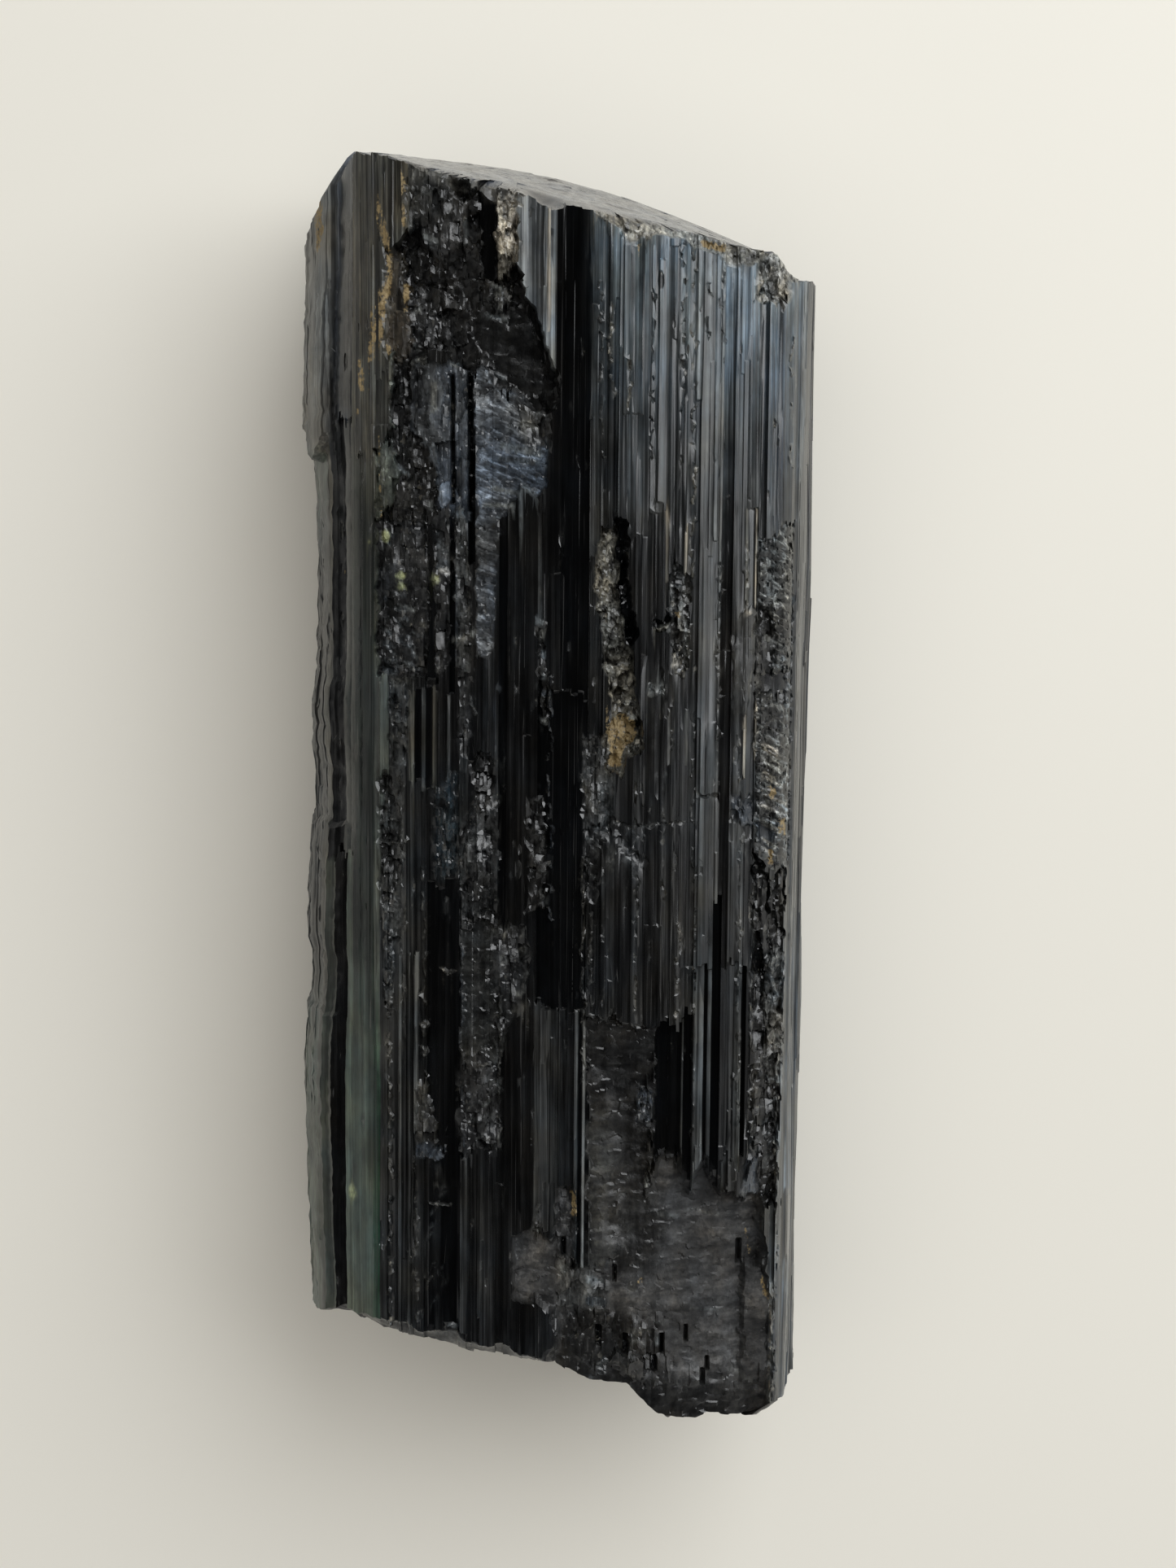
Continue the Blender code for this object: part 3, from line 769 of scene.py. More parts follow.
def rippled(x, y):
    """Plates lapping over one another across the columns, their edges running down to the right."""
    along = (y + 0.30 * x) / 1.0 + 0.9 * fractal(x * 0.30, y * 0.20, 51, 3)
    ledge = along - np.floor(along)
    swells = 0.12 * fractal(x * 0.25, y * 0.5, 57, 3)
    return 0.22 * ledge**1.5 + swells + small_planes(x, y, 0.7, 0.12, 53, 0.6)


def grainy(x, y):
    """A nearly even slope with low swells."""
    swells = 0.26 * fractal(x * 0.13, y * 0.22, 61, 3, 0.5)
    return swells + 0.035 * fractal(x * 0.6, y * 1.3, 65, 3, 0.5) + small_planes(x, y, 1.2, 0.06, 63, 0.5)


def crystalline(x, y):
    """Steep little facets, as of sugar."""
    return small_planes(x, y, 1.0, 0.60, 71, 1.3) + small_planes(x, y, 0.45, 0.60, 77, 1.1)


def plates(x, y):
    """Flat plates with splinters between them."""
    return small_planes(x, y, 1.7, 0.34, 91, 1.8) + splinters(x, y, 0.4, 0.9, 0.30, 93)


def smooth_ground(x, y):
    """Almost even ground."""
    return 0.05 * fractal(x * 0.8, y * 0.3, 97, 3)


def speckled(x, y):
    """Very small steep facets."""
    return small_planes(x, y, 0.32, 0.9, 99, 1.3)


def feathered(x, y):
    """Ledges that run down to the right, one over the other."""
    along = 1.2 * (y + 0.5 * x) + 0.9 * fractal(x * 0.35, y * 0.3, 81, 3)
    ledge = along - np.floor(along)
    return 0.26 * ledge + small_planes(x, y, 0.8, 0.16, 83, 0.7)


def end_grain(x, z):
    """The smooth broken end: low swells."""
    return 0.16 * fractal(x * 0.10, z * 0.13, 101, 3) + small_planes(x, z, 1.8, 0.03, 103)


def end_hackle(x, z):
    """The rough broken end: tilted facets in two sizes on broad swells."""
    rough = small_planes(x, z, 3.4, 0.26, 107, 0.8) + small_planes(x, z, 1.3, 0.24, 109)
    return 0.9 * fractal(x * 0.12, z * 0.12, 105, 5, 0.45) + rough


# How rugged each texture is, how it glitters (partly by painted glint specks), how far it is layered across
# the columns, and how strong the painted highlights on its slanting edges are.
GRAIN = {
    hackly: (1.0, 0.14, 0.0, 0.0),
    lumpy: (1.0, 0.0, 0.0, 0.0),
    rippled: (0.9, 0.04, 1.0, 0.35),
    grainy: (0.95, 0.0, 1.0, 0.0),
    crystalline: (1.0, 0.8, 0.0, 0.0),
    plates: (0.7, 0.12, 0.3, 0.0),
    smooth_ground: (0.3, 0.0, 0.4, 0.0),
    speckled: (1.0, 0.9, 0.0, 0.0),
    feathered: (1.0, 0.10, 0.6, 1.0),
}

# How much paler each texture's high ground is painted than its hollows: painted light and shade on its
# relief.
RELIEF_SHADING = {
    hackly: 0.45, lumpy: 0.30, rippled: 0.32, grainy: 0.22, crystalline: 0.45, plates: 0.30,
    smooth_ground: 0.0, speckled: 0.0, feathered: 0.50,
}


def broken_places(shape):
    """The pits, channels and snapped columns, from the smooth end down."""
    shape.broken(  # the socket
        [(-12.0, 50.5), (-11.0, 52.8), (-7.6, 53.6), (-7.3, 52.4), (-6.0, 54.0), (-5.0, 54.0), (-5.0, 46.2),
         (-3.2, 46.0), (-2.6, 43.2), (-1.2, 41.0), (-0.8, 39.4), (0.0, 37.0), (0.3, 35.0), (-0.8, 33.4),
         (-3.5, 34.8), (-5.5, 37.0), (-8.8, 38.2), (-9.5, 39.7), (-12.0, 39.2), (-13.6, 36.5), (-14.0, 41.0),
         (-13.5, 45.0), (-13.6, 48.0), (-12.2, 49.5)],
        -2.1, lumpy, "pit",
    )
    shape.broken(  # splinters left standing in its upper left
        [(-12.0, 48.8), (-11.6, 52.2), (-9.6, 52.8), (-7.6, 52.0), (-7.6, 48.2), (-9.2, 47.0), (-10.8, 48.2)],
        -1.5, hackly, "break", soft=0.8,
    )
    shape.broken([(-12.9, 38.8), (-12.9, 44.0), (-11.6, 43.6), (-10.2, 42.0), (-10.6, 39.8), (-11.8, 38.6)],
                 -1.5, hackly, "break", soft=0.8)
    shape.broken([(-6.3, 45.0), (-6.3, 54.0), (-5.1, 54.0), (-5.1, 45.0)], -2.3, smooth_ground, "black")
    shape.broken([(-5.0, 45.6), (-5.0, 54), (-3.2, 54), (-3.1, 46.2)], -0.8, crystalline, "crystals")
    shape.broken(
        [(-14.2, 38.6), (-14.3, 47.4), (-12.9, 47.8), (-12.5, 44.0), (-12.3, 40.0), (-13.0, 38.6)],
        -0.9, plates, "rust", soft=0.6,
    )
    shape.broken([(-12.4, 50.2), (-12.2, 53.4), (-8.4, 53.6), (-8.6, 50.8)], -1.2, plates, "coal", soft=0.8)
    shape.broken(
        [(-5.5, 43.6), (-5.0, 45.0), (-3.7, 44.6), (-3.6, 43.5), (-4.6, 43.2)],
        -1.5, crystalline, "ash",
    )
    shape.broken([(-5.9, 42.3), (-4.0, 41.9), (-3.8, 41.3), (-5.6, 41.8)], -1.6, crystalline, "ash")
    shape.broken(  # plates beside the plateau
        [(-12.0, 38.4), (-9.5, 38.6), (-7.1, 37.8), (-7.1, 25.2), (-10.0, 25.0), (-10.4, 30.0),
         (-12.2, 33.0)],
        -1.1, plates, "sky",
    )
    shape.broken(
        [(-12.4, 33.0), (-12.2, 38.0), (-11.0, 38.0), (-10.9, 33.0)],
        -1.2, hackly, "slate", soft=0.4,
    )
    shape.broken(  # the rippled plateau
        [(-7.0, 37.6), (-5.5, 37.3), (-3.5, 34.8), (-0.9, 33.2), (-0.7, 27.4), (-1.6, 26.4), (-3.0, 27.6),
         (-3.4, 26.2), (-4.6, 25.6), (-6.6, 25.6)],
        -0.75, rippled, "sky", slope=(-0.05, 0.03),
    )
    shape.broken(
        [(-6.8, 37.5), (-5.4, 37.2), (-3.5, 34.8), (-1.2, 33.2), (-1.4, 30.8), (-6.8, 32.0)],
        -0.8, rippled, "slate", soft=1.2,
    )
    shape.broken([(-3.2, 34.6), (-0.9, 33.2), (-0.8, 30.5), (-2.4, 31.0)], -0.85, plates, "coal", soft=1.0)
    shape.broken(
        [(-6.6, 42.5), (-3.0, 42.0), (-1.4, 40.6), (0.0, 36.6), (-0.2, 34.4), (-3.4, 35.4), (-5.6, 37.6),
         (-8.0, 38.6)],
        -2.1, grainy, "pit", soft=0.8,
    )
    shape.broken(  # dark rough ground left of the plates
        [(-13.8, 38.5), (-12.4, 38.0), (-12.2, 33.0), (-10.3, 30.0), (-9.9, 24.8), (-15.2, 24.8),
         (-15.3, 29.0), (-14.0, 33.0)],
        -1.0, hackly, "pit",
    )
    shape.broken(
        [(-15.2, 25.0), (-15.3, 31.0), (-13.9, 31.5), (-13.3, 29.0), (-14.1, 26.0)],
        -0.5, plates, "moss",
    )
    shape.broken([(-15.3, 11.7), (-15.4, 25.0), (-11.0, 25.0), (-11.0, 11.7)], -1.25, hackly, "break")
    shape.broken([(-14.3, 3.8), (-14.3, 11.4), (-12.8, 11.4), (-12.8, 3.8)], -0.3, hackly, "grey")
    shape.broken([(-10.3, 12.0), (-10.4, 26.0), (-9.1, 26.5), (-9.1, 12.6)], -0.75, hackly, "break")
    shape.broken([(-8.5, 12.5), (-8.6, 26.0), (-7.6, 26.5), (-7.3, 22.0), (-7.2, 12.5)], -0.6, hackly, "grey")
    shape.broken(  # a rippled tongue
        [(-6.7, 25.4), (-4.9, 25.6), (-5.1, 20.0), (-5.6, 14.0), (-6.0, 12.8), (-6.8, 12.8)],
        -0.3, rippled, "slate",
    )
    shape.broken([(-8.3, 5.0), (-8.4, 12.4), (-7.4, 12.4), (-7.4, 5.0)], -0.45, hackly, "break")
    shape.broken(
        [(-15.1, -11.5), (-15.2, 3.0), (-13.4, 3.4), (-13.4, -11.5)],
        -0.45, hackly, "coal", soft=0.4,
    )
    shape.broken([(-15.0, -17.5), (-15.0, -11.5), (-14.2, -11.5), (-14.2, -17.5)], -0.2, hackly, "grey")
    shape.broken([(-10.4, -5.8), (-10.6, 2.0), (-8.6, 3.0), (-8.3, -6.2)], -0.5, hackly, "teal", soft=0.8)
    shape.broken([(-8.2, -9.8), (-8.2, -1.0), (-7.0, 1.4), (-5.1, 1.2), (-5.2, -9.8)], -0.55, hackly, "dark",
                 soft=0.4)
    shape.broken([(-7.2, 0.5), (-7.2, 4.6), (-5.4, 4.6), (-5.2, 0.5)], -0.6, hackly, "pit", soft=0.5)
    shape.broken(
        [(-8.3, -22.0), (-8.3, -10.2), (-5.0, -10.0), (-3.4, -10.6), (-3.4, -18.0), (-5.0, -22.0)],
        -0.55, grainy, "coal",
    )
    shape.broken(
        [(-5.2, -18.6), (-5.4, -11.0), (-3.0, -11.0), (-2.6, -14.0), (-3.5, -18.6)],
        -0.8, hackly, "break", soft=0.7,
    )
    shape.broken(
        [(-8.5, -30.0), (-8.5, -22.0), (-5.0, -22.0), (-5.0, -30.0)],
        -0.5, hackly, "break", soft=0.5,
    )
    shape.broken([(-2.3, -9.2), (-2.3, 0.5), (-1.1, 0.5), (-1.1, -9.2)], -0.55, hackly, "pit", soft=0.5)
    shape.broken([(-1.3, 7.0), (-1.4, 15.6), (-0.9, 15.6), (-0.8, 7.0)], -0.35, hackly, "pit")
    shape.broken(  # the crystalline channel
        [(4.1, 24.7), (5.2, 24.4), (5.4, 17.5), (6.0, 15.0), (6.7, 13.0), (7.0, 10.0), (7.5, 8.0), (7.4, 5.2),
         (6.2, 5.0), (5.6, 2.8), (4.1, 3.0), (3.2, 5.0), (2.5, 2.8), (2.6, 0.0), (3.3, 5.5), (4.8, 8.0),
         (4.9, 10.0), (4.2, 13.0), (3.9, 17.0), (3.4, 19.5), (3.6, 22.0)],
        -1.35, crystalline, "sugar", slope=(-0.12, 0.0),
    )
    # Painted shadow: a black patch beside the channel, where its wall casts shade.
    shape.broken(
        [(5.2, 24.8), (5.5, 17.0), (6.6, 14.6), (7.2, 15.4), (6.4, 18.0), (6.0, 25.0)],
        -1.5, lumpy, "black", soft=0.3,
    )
    shape.broken(
        [(2.5, -1.6), (2.5, 6.4), (4.2, 6.8), (4.8, 1.0), (4.9, -1.8)],
        -0.6, hackly, "grey", soft=0.4,
    )
    shape.broken([(2.8, -1.2), (2.9, 0.4), (4.2, 0.2), (4.3, -1.0)], -0.45, plates, "grey", soft=0.5)
    shape.broken(
        [(2.6, -8.0), (2.6, -1.4), (4.4, -1.6), (3.6, -4.0), (3.4, -8.0)],
        -0.45, hackly, "break", soft=0.5,
    )
    shape.broken([(4.6, -1.0), (5.6, -2.0), (7.9, -4.4), (7.6, -5.0), (5.6, -3.6), (4.4, -2.0)], -0.4, hackly,
                 "break", soft=0.4)
    shape.broken([(10.0, 11.8), (9.9, 19.5), (10.3, 21.5), (11.4, 19.8), (11.6, 14.0), (11.2, 12.0)], -0.35,
                 crystalline, "ash")
    shape.broken([(8.0, 10.1), (7.9, 11.0), (9.4, 11.2), (9.3, 10.3)], -0.1, crystalline, "silver", soft=0.3)
    shape.broken(
        [(8.3, 16.2), (8.6, 16.9), (9.6, 16.7), (9.9, 16.2), (9.0, 15.9)],
        -0.9, smooth_ground, "black",
    )
    shape.broken(
        [(8.4, 15.8), (9.2, 15.9), (9.9, 16.1), (9.9, 15.9), (9.2, 15.6)],
        0.05, speckled, "crystals", stagger=0.0,
    )
    shape.broken([(15.2, 8.0), (15.1, 14.5), (15.8, 16.5), (17.0, 17.6), (17.0, 12.0), (16.4, 8.0)], 0.1,
                 smooth_ground, "grey")
    shape.broken([(15.2, -1.2), (15.1, 0.8), (16.9, 1.0), (16.9, -1.4)], -0.1, plates, "slate", soft=0.5)
    shape.broken(  # the feathered channel
        [(17.3, -4.5), (17.2, 5.0), (17.5, 23.2), (18.6, 23.2), (19.4, 24.8), (20.5, 24.8), (20.4, -4.8)],
        -0.6, feathered, "coal", slope=(-0.08, 0.0),
    )
    shape.broken(
        [(17.3, 12.0), (17.4, 17.6), (18.5, 17.2), (19.0, 14.0), (18.6, 11.6)],
        -1.2, plates, "soot", soft=0.5,
    )
    shape.broken(
        [(17.6, 9.8), (17.6, 11.8), (20.0, 12.4), (20.0, 10.0)],
        -1.3, smooth_ground, "soot", soft=0.6,
    )
    shape.broken(
        [(17.5, -3.2), (17.5, -1.2), (18.8, -1.6), (18.8, -3.6)],
        -1.1, smooth_ground, "slate", soft=0.4,
    )
    shape.broken(
        [(17.3, -35.0), (17.1, -3.5), (18.6, -6.0), (19.9, -4.8), (19.4, -35.0)],
        -0.8, hackly, "pit",
    )
    shape.broken(
        [(17.3, -18.0), (17.2, -4.6), (18.4, -6.4), (18.6, -12.0), (18.2, -18.0)],
        -1.1, plates, "soot", soft=0.4,
    )
    shape.broken(
        [(18.4, -24.0), (18.4, -12.4), (19.9, -12.0), (19.6, -24.0)],
        -0.7, crystalline, "ash", soft=0.4,
    )
    shape.worn_end((2.8, 20.6), True, 1.8, 1.0, crystalline, "crystals")
    shape.worn_end((-12.6, -3.0), True, 1.3, 0.5, plates, "ash")
    shape.broken(
        [(17.2, 43.2), (17.2, 47.5), (19.7, 47.5), (19.7, 43.2)],
        -0.5, crystalline, "crystals", soft=0.4,
    )
    shape.broken(  # below the slab: a mottled slope
        [(2.9, -41.0), (2.8, -18.0), (4.6, -18.3), (7.0, -19.4), (8.7, -18.9), (8.6, -30.5), (8.3, -34.0),
         (8.4, -41.0)],
        -1.15, grainy, "umber", slope=(-0.04, 0.02),
    )
    shape.broken(
        [(2.9, -41.0), (3.0, -27.0), (4.0, -26.5), (5.4, -30.5), (5.2, -34.0), (5.0, -41.0)],
        -1.05, grainy, "olive", slope=(-0.04, 0.02), soft=1.2,
    )
    shape.broken(  # the large break at the lower right
        [(8.2, -40.0), (8.3, -33.0), (9.0, -30.6), (10.7, -31.0), (11.8, -33.6), (13.2, -31.0),
         (14.3, -34.4), (16.0, -34.6), (17.7, -34.6), (18.2, -38.0), (18.3, -41.5), (18.7, -44.0),
         (18.8, -50.0), (18.7, -60.0), (-3.6, -60.0), (0.0, -48.4), (0.0, -41.5), (4.4, -40.8)],
        -2.0, grainy, "fracture", slope=(-0.03, 0.05), soft=0.8,
    )
    shape.broken(
        [(16.4, -41.0), (16.4, -60.0), (18.9, -60.0), (18.8, -43.0), (18.3, -41.0)],
        -1.4, grainy, "fracture", slope=(0.45, 0.05), soft=0.5,
    )
    shape.broken(
        [(-3.6, -60.0), (0.0, -49.5), (6.0, -49.5), (11.0, -51.0), (18.4, -51.5), (18.1, -60.0)],
        -2.1, grainy, "umber", slope=(-0.03, 0.05), soft=2.5,
    )
    shape.broken(  # a dark hollow beside the slope
        [(5.0, -41.8), (4.9, -33.5), (6.6, -31.0), (8.3, -32.5), (9.8, -36.5), (9.2, -41.4)],
        -1.75, grainy, "umber", soft=1.8,
    )
    shape.broken(
        [(-3.7, -44.0), (-3.8, -38.6), (-2.0, -38.0), (0.2, -38.8), (0.4, -45.0)],
        -1.3, grainy, "fracture", soft=0.5,
    )
    shape.broken([(0.0, -34.0), (0.0, -41.0), (1.5, -41.0), (1.5, -33.6)], -0.9, hackly, "fracture", soft=0.4)
    shape.broken(
        [(0.2, -40.6), (0.2, -45.2), (4.8, -45.6), (4.8, -43.0), (2.8, -41.0)],
        -1.4, plates, "ash", soft=0.6,
    )
    shape.broken(
        [(0.2, -45.4), (0.2, -50.0), (5.6, -50.4), (9.4, -52.8), (9.4, -46.4), (5.0, -45.2)],
        -2.0, plates, "umber", soft=1.2,
    )
    shape.broken(
        [(-12.3, -29.5), (-12.2, -24.0), (-11.4, -24.0), (-10.4, -29.3)],
        -0.2, hackly, "olive", soft=0.3,
    )
    shape.broken(
        [(-12.3, -30.4), (-12.3, -29.4), (-10.4, -29.4), (-9.7, -30.4), (-10.8, -31.0)],
        -0.3, plates, "sky",
    )
    shape.broken(
        [(16.2, -34.3), (16.8, -31.0), (17.7, -31.2), (17.7, -34.5)],
        -0.5, plates, "slate", soft=0.3,
    )
    shape.broken(
        [(7.0, -27.5), (7.4, -24.8), (8.2, -24.8), (8.3, -28.0)],
        -1.0, crystalline, "slate", soft=0.4,
    )
    shape.worn_end((-17.0, -0.5), False, 1.4, 0.8, grainy, "ash")


# Rough threads that run along the columns' edges: seen X, width, seen Y from and to, and shade.
THREADS = (
    (4.7, 0.35, 35, 43, "crystals"), (6.3, 0.45, 34.5, 39, "crystals"), (10.8, 0.35, 34, 48, "ash"),
    (11.7, 0.25, 20, 48, "crystals"), (12.9, 0.2, 40, 46, "ash"), (14.2, 0.2, 38, 47, "ash"),
    (20.1, 0.35, 29, 39, "crystals"), (16.35, 0.25, 17, 23, "crystals"), (17.3, 0.3, 5, 9, "crystals"),
    (9.9, 0.2, 5, 10, "ash"), (3.9, 0.2, 30, 46, "ash"), (8.2, 0.2, 30, 45, "ash"),
    (6.9, 0.22, -19, 3, "ash"), (9.3, 0.2, -8, 2, "ash"), (3.0, 0.3, -17.5, -8, "ash"),
    (-14.7, 0.45, -46, -12, "ash"), (-12.4, 0.2, -46, -31, "ash"), (19.3, 0.25, -54, -24, "ash"),
    (-7.2, 0.25, 8, 12.6, "ash"), (-5.0, 0.25, -30, -18, "ash"), (8.1, 0.35, -34.5, -25, "ash"),
    (11.9, 0.2, -29, 10, "ash"), (10.5, 0.35, -18.5, -10, "ash"), (14.0, 0.2, 2, 20, "ash"),
    (-1.9, 0.5, -38.6, -36.5, "ash"), (-14.0, 0.3, 30, 40, "moss"), (-11.6, 0.25, -24, -4, "ash"),
    (2.3, 0.25, -24, -6, "ash"), (-8.3, 0.2, -30, -12, "slate"), (-0.6, 0.2, -10, 12, "slate"),
    (17.0, 0.2, -29, -2, "ash"), (15.9, 0.15, -28, 6, "ash"), (-13.3, 0.2, -20, 3, "ash"),
)

# Thin cracks across the columns, as the seen points that each runs through.
CRACKS = (
    ((-10.3, -14.1), (-9.4, -14.3), (-8.6, -14.2)),
    ((-11.4, -35.2), (-10.4, -35.4), (-9.2, -35.3)),
    ((-15.2, -1.0), (-14.2, -0.8), (-13.5, -1.1)),
    ((-15.1, -2.6), (-14.1, -2.9), (-13.5, -2.8)),
    ((12.0, 1.3), (12.5, 1.0), (14.0, 1.1)),
    ((4.8, -1.2), (7.5, -1.45), (11.2, -1.2)),
    ((2.8, -18.2), (4.4, -18.5), (5.6, -19.1), (7.9, -19.3)),
    ((-7.2, -23.0), (-6.0, -22.6), (-5.2, -23.1)),
    ((-9.9, -46.1), (-9.2, -46.2)),
)


def rough_threads(shape):
    """Lays the rough threads in short broken dashes, and then the cracks."""
    rng = np.random.default_rng(SEED + 71)
    for across, width, low, high, shade in THREADS:
        at = low
        while at < high:
            end = at + rng.uniform(0.3, 2.2)
            left = across + rng.normal(0, 0.12 * width)
            right = left + width * rng.uniform(0.25, 0.75)
            outline = [(left, at), (left, end), (right, end), (right, at)]
            shape.broken(outline, rng.uniform(-0.15, 0.06), speckled, shade, stagger=0.0, soft=0.16)
            at = end + rng.uniform(0.1, 1.6)
    for points in CRACKS:
        lower = [(x, y - 0.06) for x, y in points]
        upper = [(x, y + 0.06) for x, y in reversed(points)]
        shape.broken(lower + upper, -0.25, speckled, "ash", stagger=0.0)


# Places strewn with painted glints, small bright patches for flakes that catch the light: seen X from and to,
# seen Y from and to, how many, how far they run down to the right for each millimetre across, and their
# shade.
PAINTED_GLINTS = (
    (-14.9, -11.2, 12.0, 24.5, 46, 0.6, "steel"),
    (-14.2, -13.0, 4.0, 11.2, 18, 0.6, "pale"),
    (-10.2, -7.6, 13.0, 25.5, 26, 0.8, "steel"),
    (-14.9, -13.6, -10.5, 3.0, 18, 0.5, "iron"),
    (-9.8, -5.3, -9.5, -1.5, 18, 0.5, "iron"),
    (-7.0, -5.2, 0.5, 5.0, 3, 0.6, "iron"),
    (-8.3, -5.2, -29.5, -21.0, 20, -0.6, "iron"),
    (-5.3, -3.0, -18.0, -11.5, 20, -0.9, "pale"),
    (-2.2, -1.2, -9.0, -5.0, 4, 0.8, "iron"),
    (18.5, 19.8, -24.0, -11.5, 30, 0.7, "silver"),
    (17.5, 19.2, -34.0, -25.0, 12, -0.9, "iron"),
    (0.6, 9.4, -52.0, -46.0, 22, 0.3, "iron"),
    (-14.6, -4.6, -46.5, -31.0, 24, -0.9, "grey"),
    (2.6, 4.6, -7.5, 4.4, 12, 0.6, "iron"),
    (4.6, 7.8, -4.6, -1.0, 5, 0.5, "iron"),
    (17.4, 19.7, 43.4, 47.2, 30, 0.9, "white"),
    (-5.0, -3.2, 46.4, 53.4, 22, 0.7, "white"),
)

# Larger flakes, most of them painted glints: seen X of the left end, seen Y of its lower edge there, how far
# each runs across, its height, how far it drops to the right, and its shade.
LARGE_FLAKES_AND_GLINTS = (
    (-11.2, 48.6, 1.3, 0.45, 0.5, "silver"), (-10.9, 48.0, 0.7, 0.3, 0.3, "steel"),
    (-7.7, 48.2, 0.22, 2.2, 0.0, "steel"), (-5.4, 44.6, 0.9, 0.35, 0.35, "silver"),
    (-5.2, 43.9, 0.8, 0.3, 0.2, "pale"), (-6.0, 42.3, 1.3, 0.25, 0.5, "silver"),
    (-4.6, 41.8, 0.6, 0.5, 0.1, "pale"), (-12.1, 42.2, 0.7, 0.5, -0.4, "pale"),
    (-12.0, 39.3, 0.4, 0.45, 0.1, "silver"), (-11.9, 38.4, 1.0, 0.3, 0.5, "silver"),
    (-5.3, 37.2, 1.1, 0.3, 0.4, "silver"), (-9.0, 38.0, 0.8, 0.35, 0.2, "silver"),
    (-10.6, 34.0, 0.5, 2.6, 0.0, "silver"), (-13.4, 29.2, 1.0, 0.3, 0.8, "silver"),
    (-13.0, 28.0, 0.6, 0.25, 0.5, "pale"), (-10.9, 25.6, 0.4, 0.9, 0.0, "silver"),
    (-9.9, 20.5, 0.8, 0.35, 0.3, "white"), (-8.9, 14.4, 1.2, 0.3, -0.3, "pale"),
    (-13.4, 17.4, 1.3, 0.3, 0.5, "silver"), (-11.7, 15.9, 0.6, 0.25, 0.3, "pale"),
    (-7.3, 14.9, 0.35, 0.5, 0.0, "silver"), (-9.4, 21.6, 0.6, 0.25, 0.2, "pale"),
    (-1.7, 16.0, 0.7, 0.6, 0.3, "silver"), (-1.3, 14.7, 0.3, 0.7, 0.0, "crystals"),
    (-1.2, 13.0, 0.35, 0.5, 0.0, "silver"), (-1.2, 11.2, 0.3, 0.5, 0.0, "silver"),
    (-1.2, 9.8, 0.35, 0.4, 0.0, "sky"), (-1.4, 7.4, 0.7, 0.5, 0.2, "silver"),
    (-5.2, 10.4, 0.5, 0.3, 0.2, "sky"), (-4.6, 31.0, 3.4, 0.45, 0.8, "silver"),
    (-4.9, 29.9, 3.6, 0.4, 0.3, "steel"), (-5.4, 27.4, 2.6, 0.35, 0.5, "silver"),
    (-6.2, 26.0, 2.8, 0.3, 0.1, "silver"), (-3.0, 33.0, 1.6, 0.35, 0.5, "silver"),
    (-2.9, 27.7, 1.2, 0.5, 0.9, "silver"), (8.1, 10.4, 1.2, 0.5, 0.1, "silver"),
    (10.0, 12.3, 1.1, 0.25, -0.5, "white"), (11.1, 12.4, 0.2, 3.8, 0.1, "silver"),
    (16.4, 16.8, 0.4, 0.3, 0.0, "white"), (18.0, 14.6, 0.8, 0.5, 0.5, "silver"),
    (2.6, -42.6, 1.6, 0.5, 0.2, "silver"), (2.6, -44.6, 1.8, 0.8, 0.4, "steel"),
    (0.4, -41.6, 0.5, 0.6, 0.0, "silver"), (8.8, -48.6, 0.4, 1.0, 0.0, "steel"),
    (7.8, -34.0, 0.3, 1.1, 0.0, "silver"), (-2.2, -37.6, 0.7, 0.35, 0.2, "silver"),
    (-4.0, -16.2, 0.9, 0.3, 0.4, "pale"), (-9.6, -46.3, 0.9, 0.25, 0.1, "silver"),
    (11.6, -36.2, 3.0, 0.35, 0.5, "ash"), (9.0, -36.6, 2.0, 0.3, 0.2, "ash"),
    (11.8, -45.4, 3.0, 0.3, 0.1, "ash"), (15.4, -51.0, 2.2, 0.5, 1.2, "ash"),
    (6.2, -47.6, 1.6, 0.5, -0.2, "ash"), (6.4, -43.6, 0.9, 1.0, 0.0, "olive"),
)

# Dark clefts, given in the same way.
CLEFTS = (
    (-8.95, 26.2, 0.35, 11.0, 0.0, "black"), (-7.45, 25.6, 0.4, 11.8, 0.0, "black"),
    (3.5, -48.6, 0.45, 1.9, 0.0, "black"), (5.9, -49.2, 0.4, 1.6, 0.0, "black"),
    (9.2, -49.4, 0.35, 1.9, 0.0, "black"), (8.4, -50.9, 0.5, 1.2, 0.0, "black"),
    (11.4, -48.3, 0.3, 1.5, 0.0, "pit"), (12.9, -52.2, 0.35, 1.4, 0.0, "pit"),
    (13.3, -50.9, 0.3, 1.2, 0.0, "pit"), (1.3, -41.4, 0.35, 1.2, 0.0, "black"),
    (0.4, -40.0, 0.4, 1.6, 0.0, "black"), (5.0, -42.6, 0.3, 1.6, 0.0, "pit"),
    (16.0, -41.0, 0.4, 2.2, 0.0, "pit"),
)

# Pale lime-green spots: seen X and Y, and half their width and height.
SPOTS = (
    (-13.35, 20.1, 0.36, 0.32), (-13.3, 19.2, 0.32, 0.30), (-10.35, 19.8, 0.32, 0.42),
    (-14.6, 23.5, 0.36, 0.52), (-15.85, 23.0, 0.15, 0.15), (-17.85, -33.9, 0.26, 0.8),
)


def patch(shape, x, y, run, thick, drop, shade, sink=0.0):
    """A small slanted patch that follows the ground, or is sunk into it."""
    outline = [(x, y), (x + run, y - drop), (x + run, y - drop + thick), (x, y + thick)]
    shape.marked(outline, shade, sink)


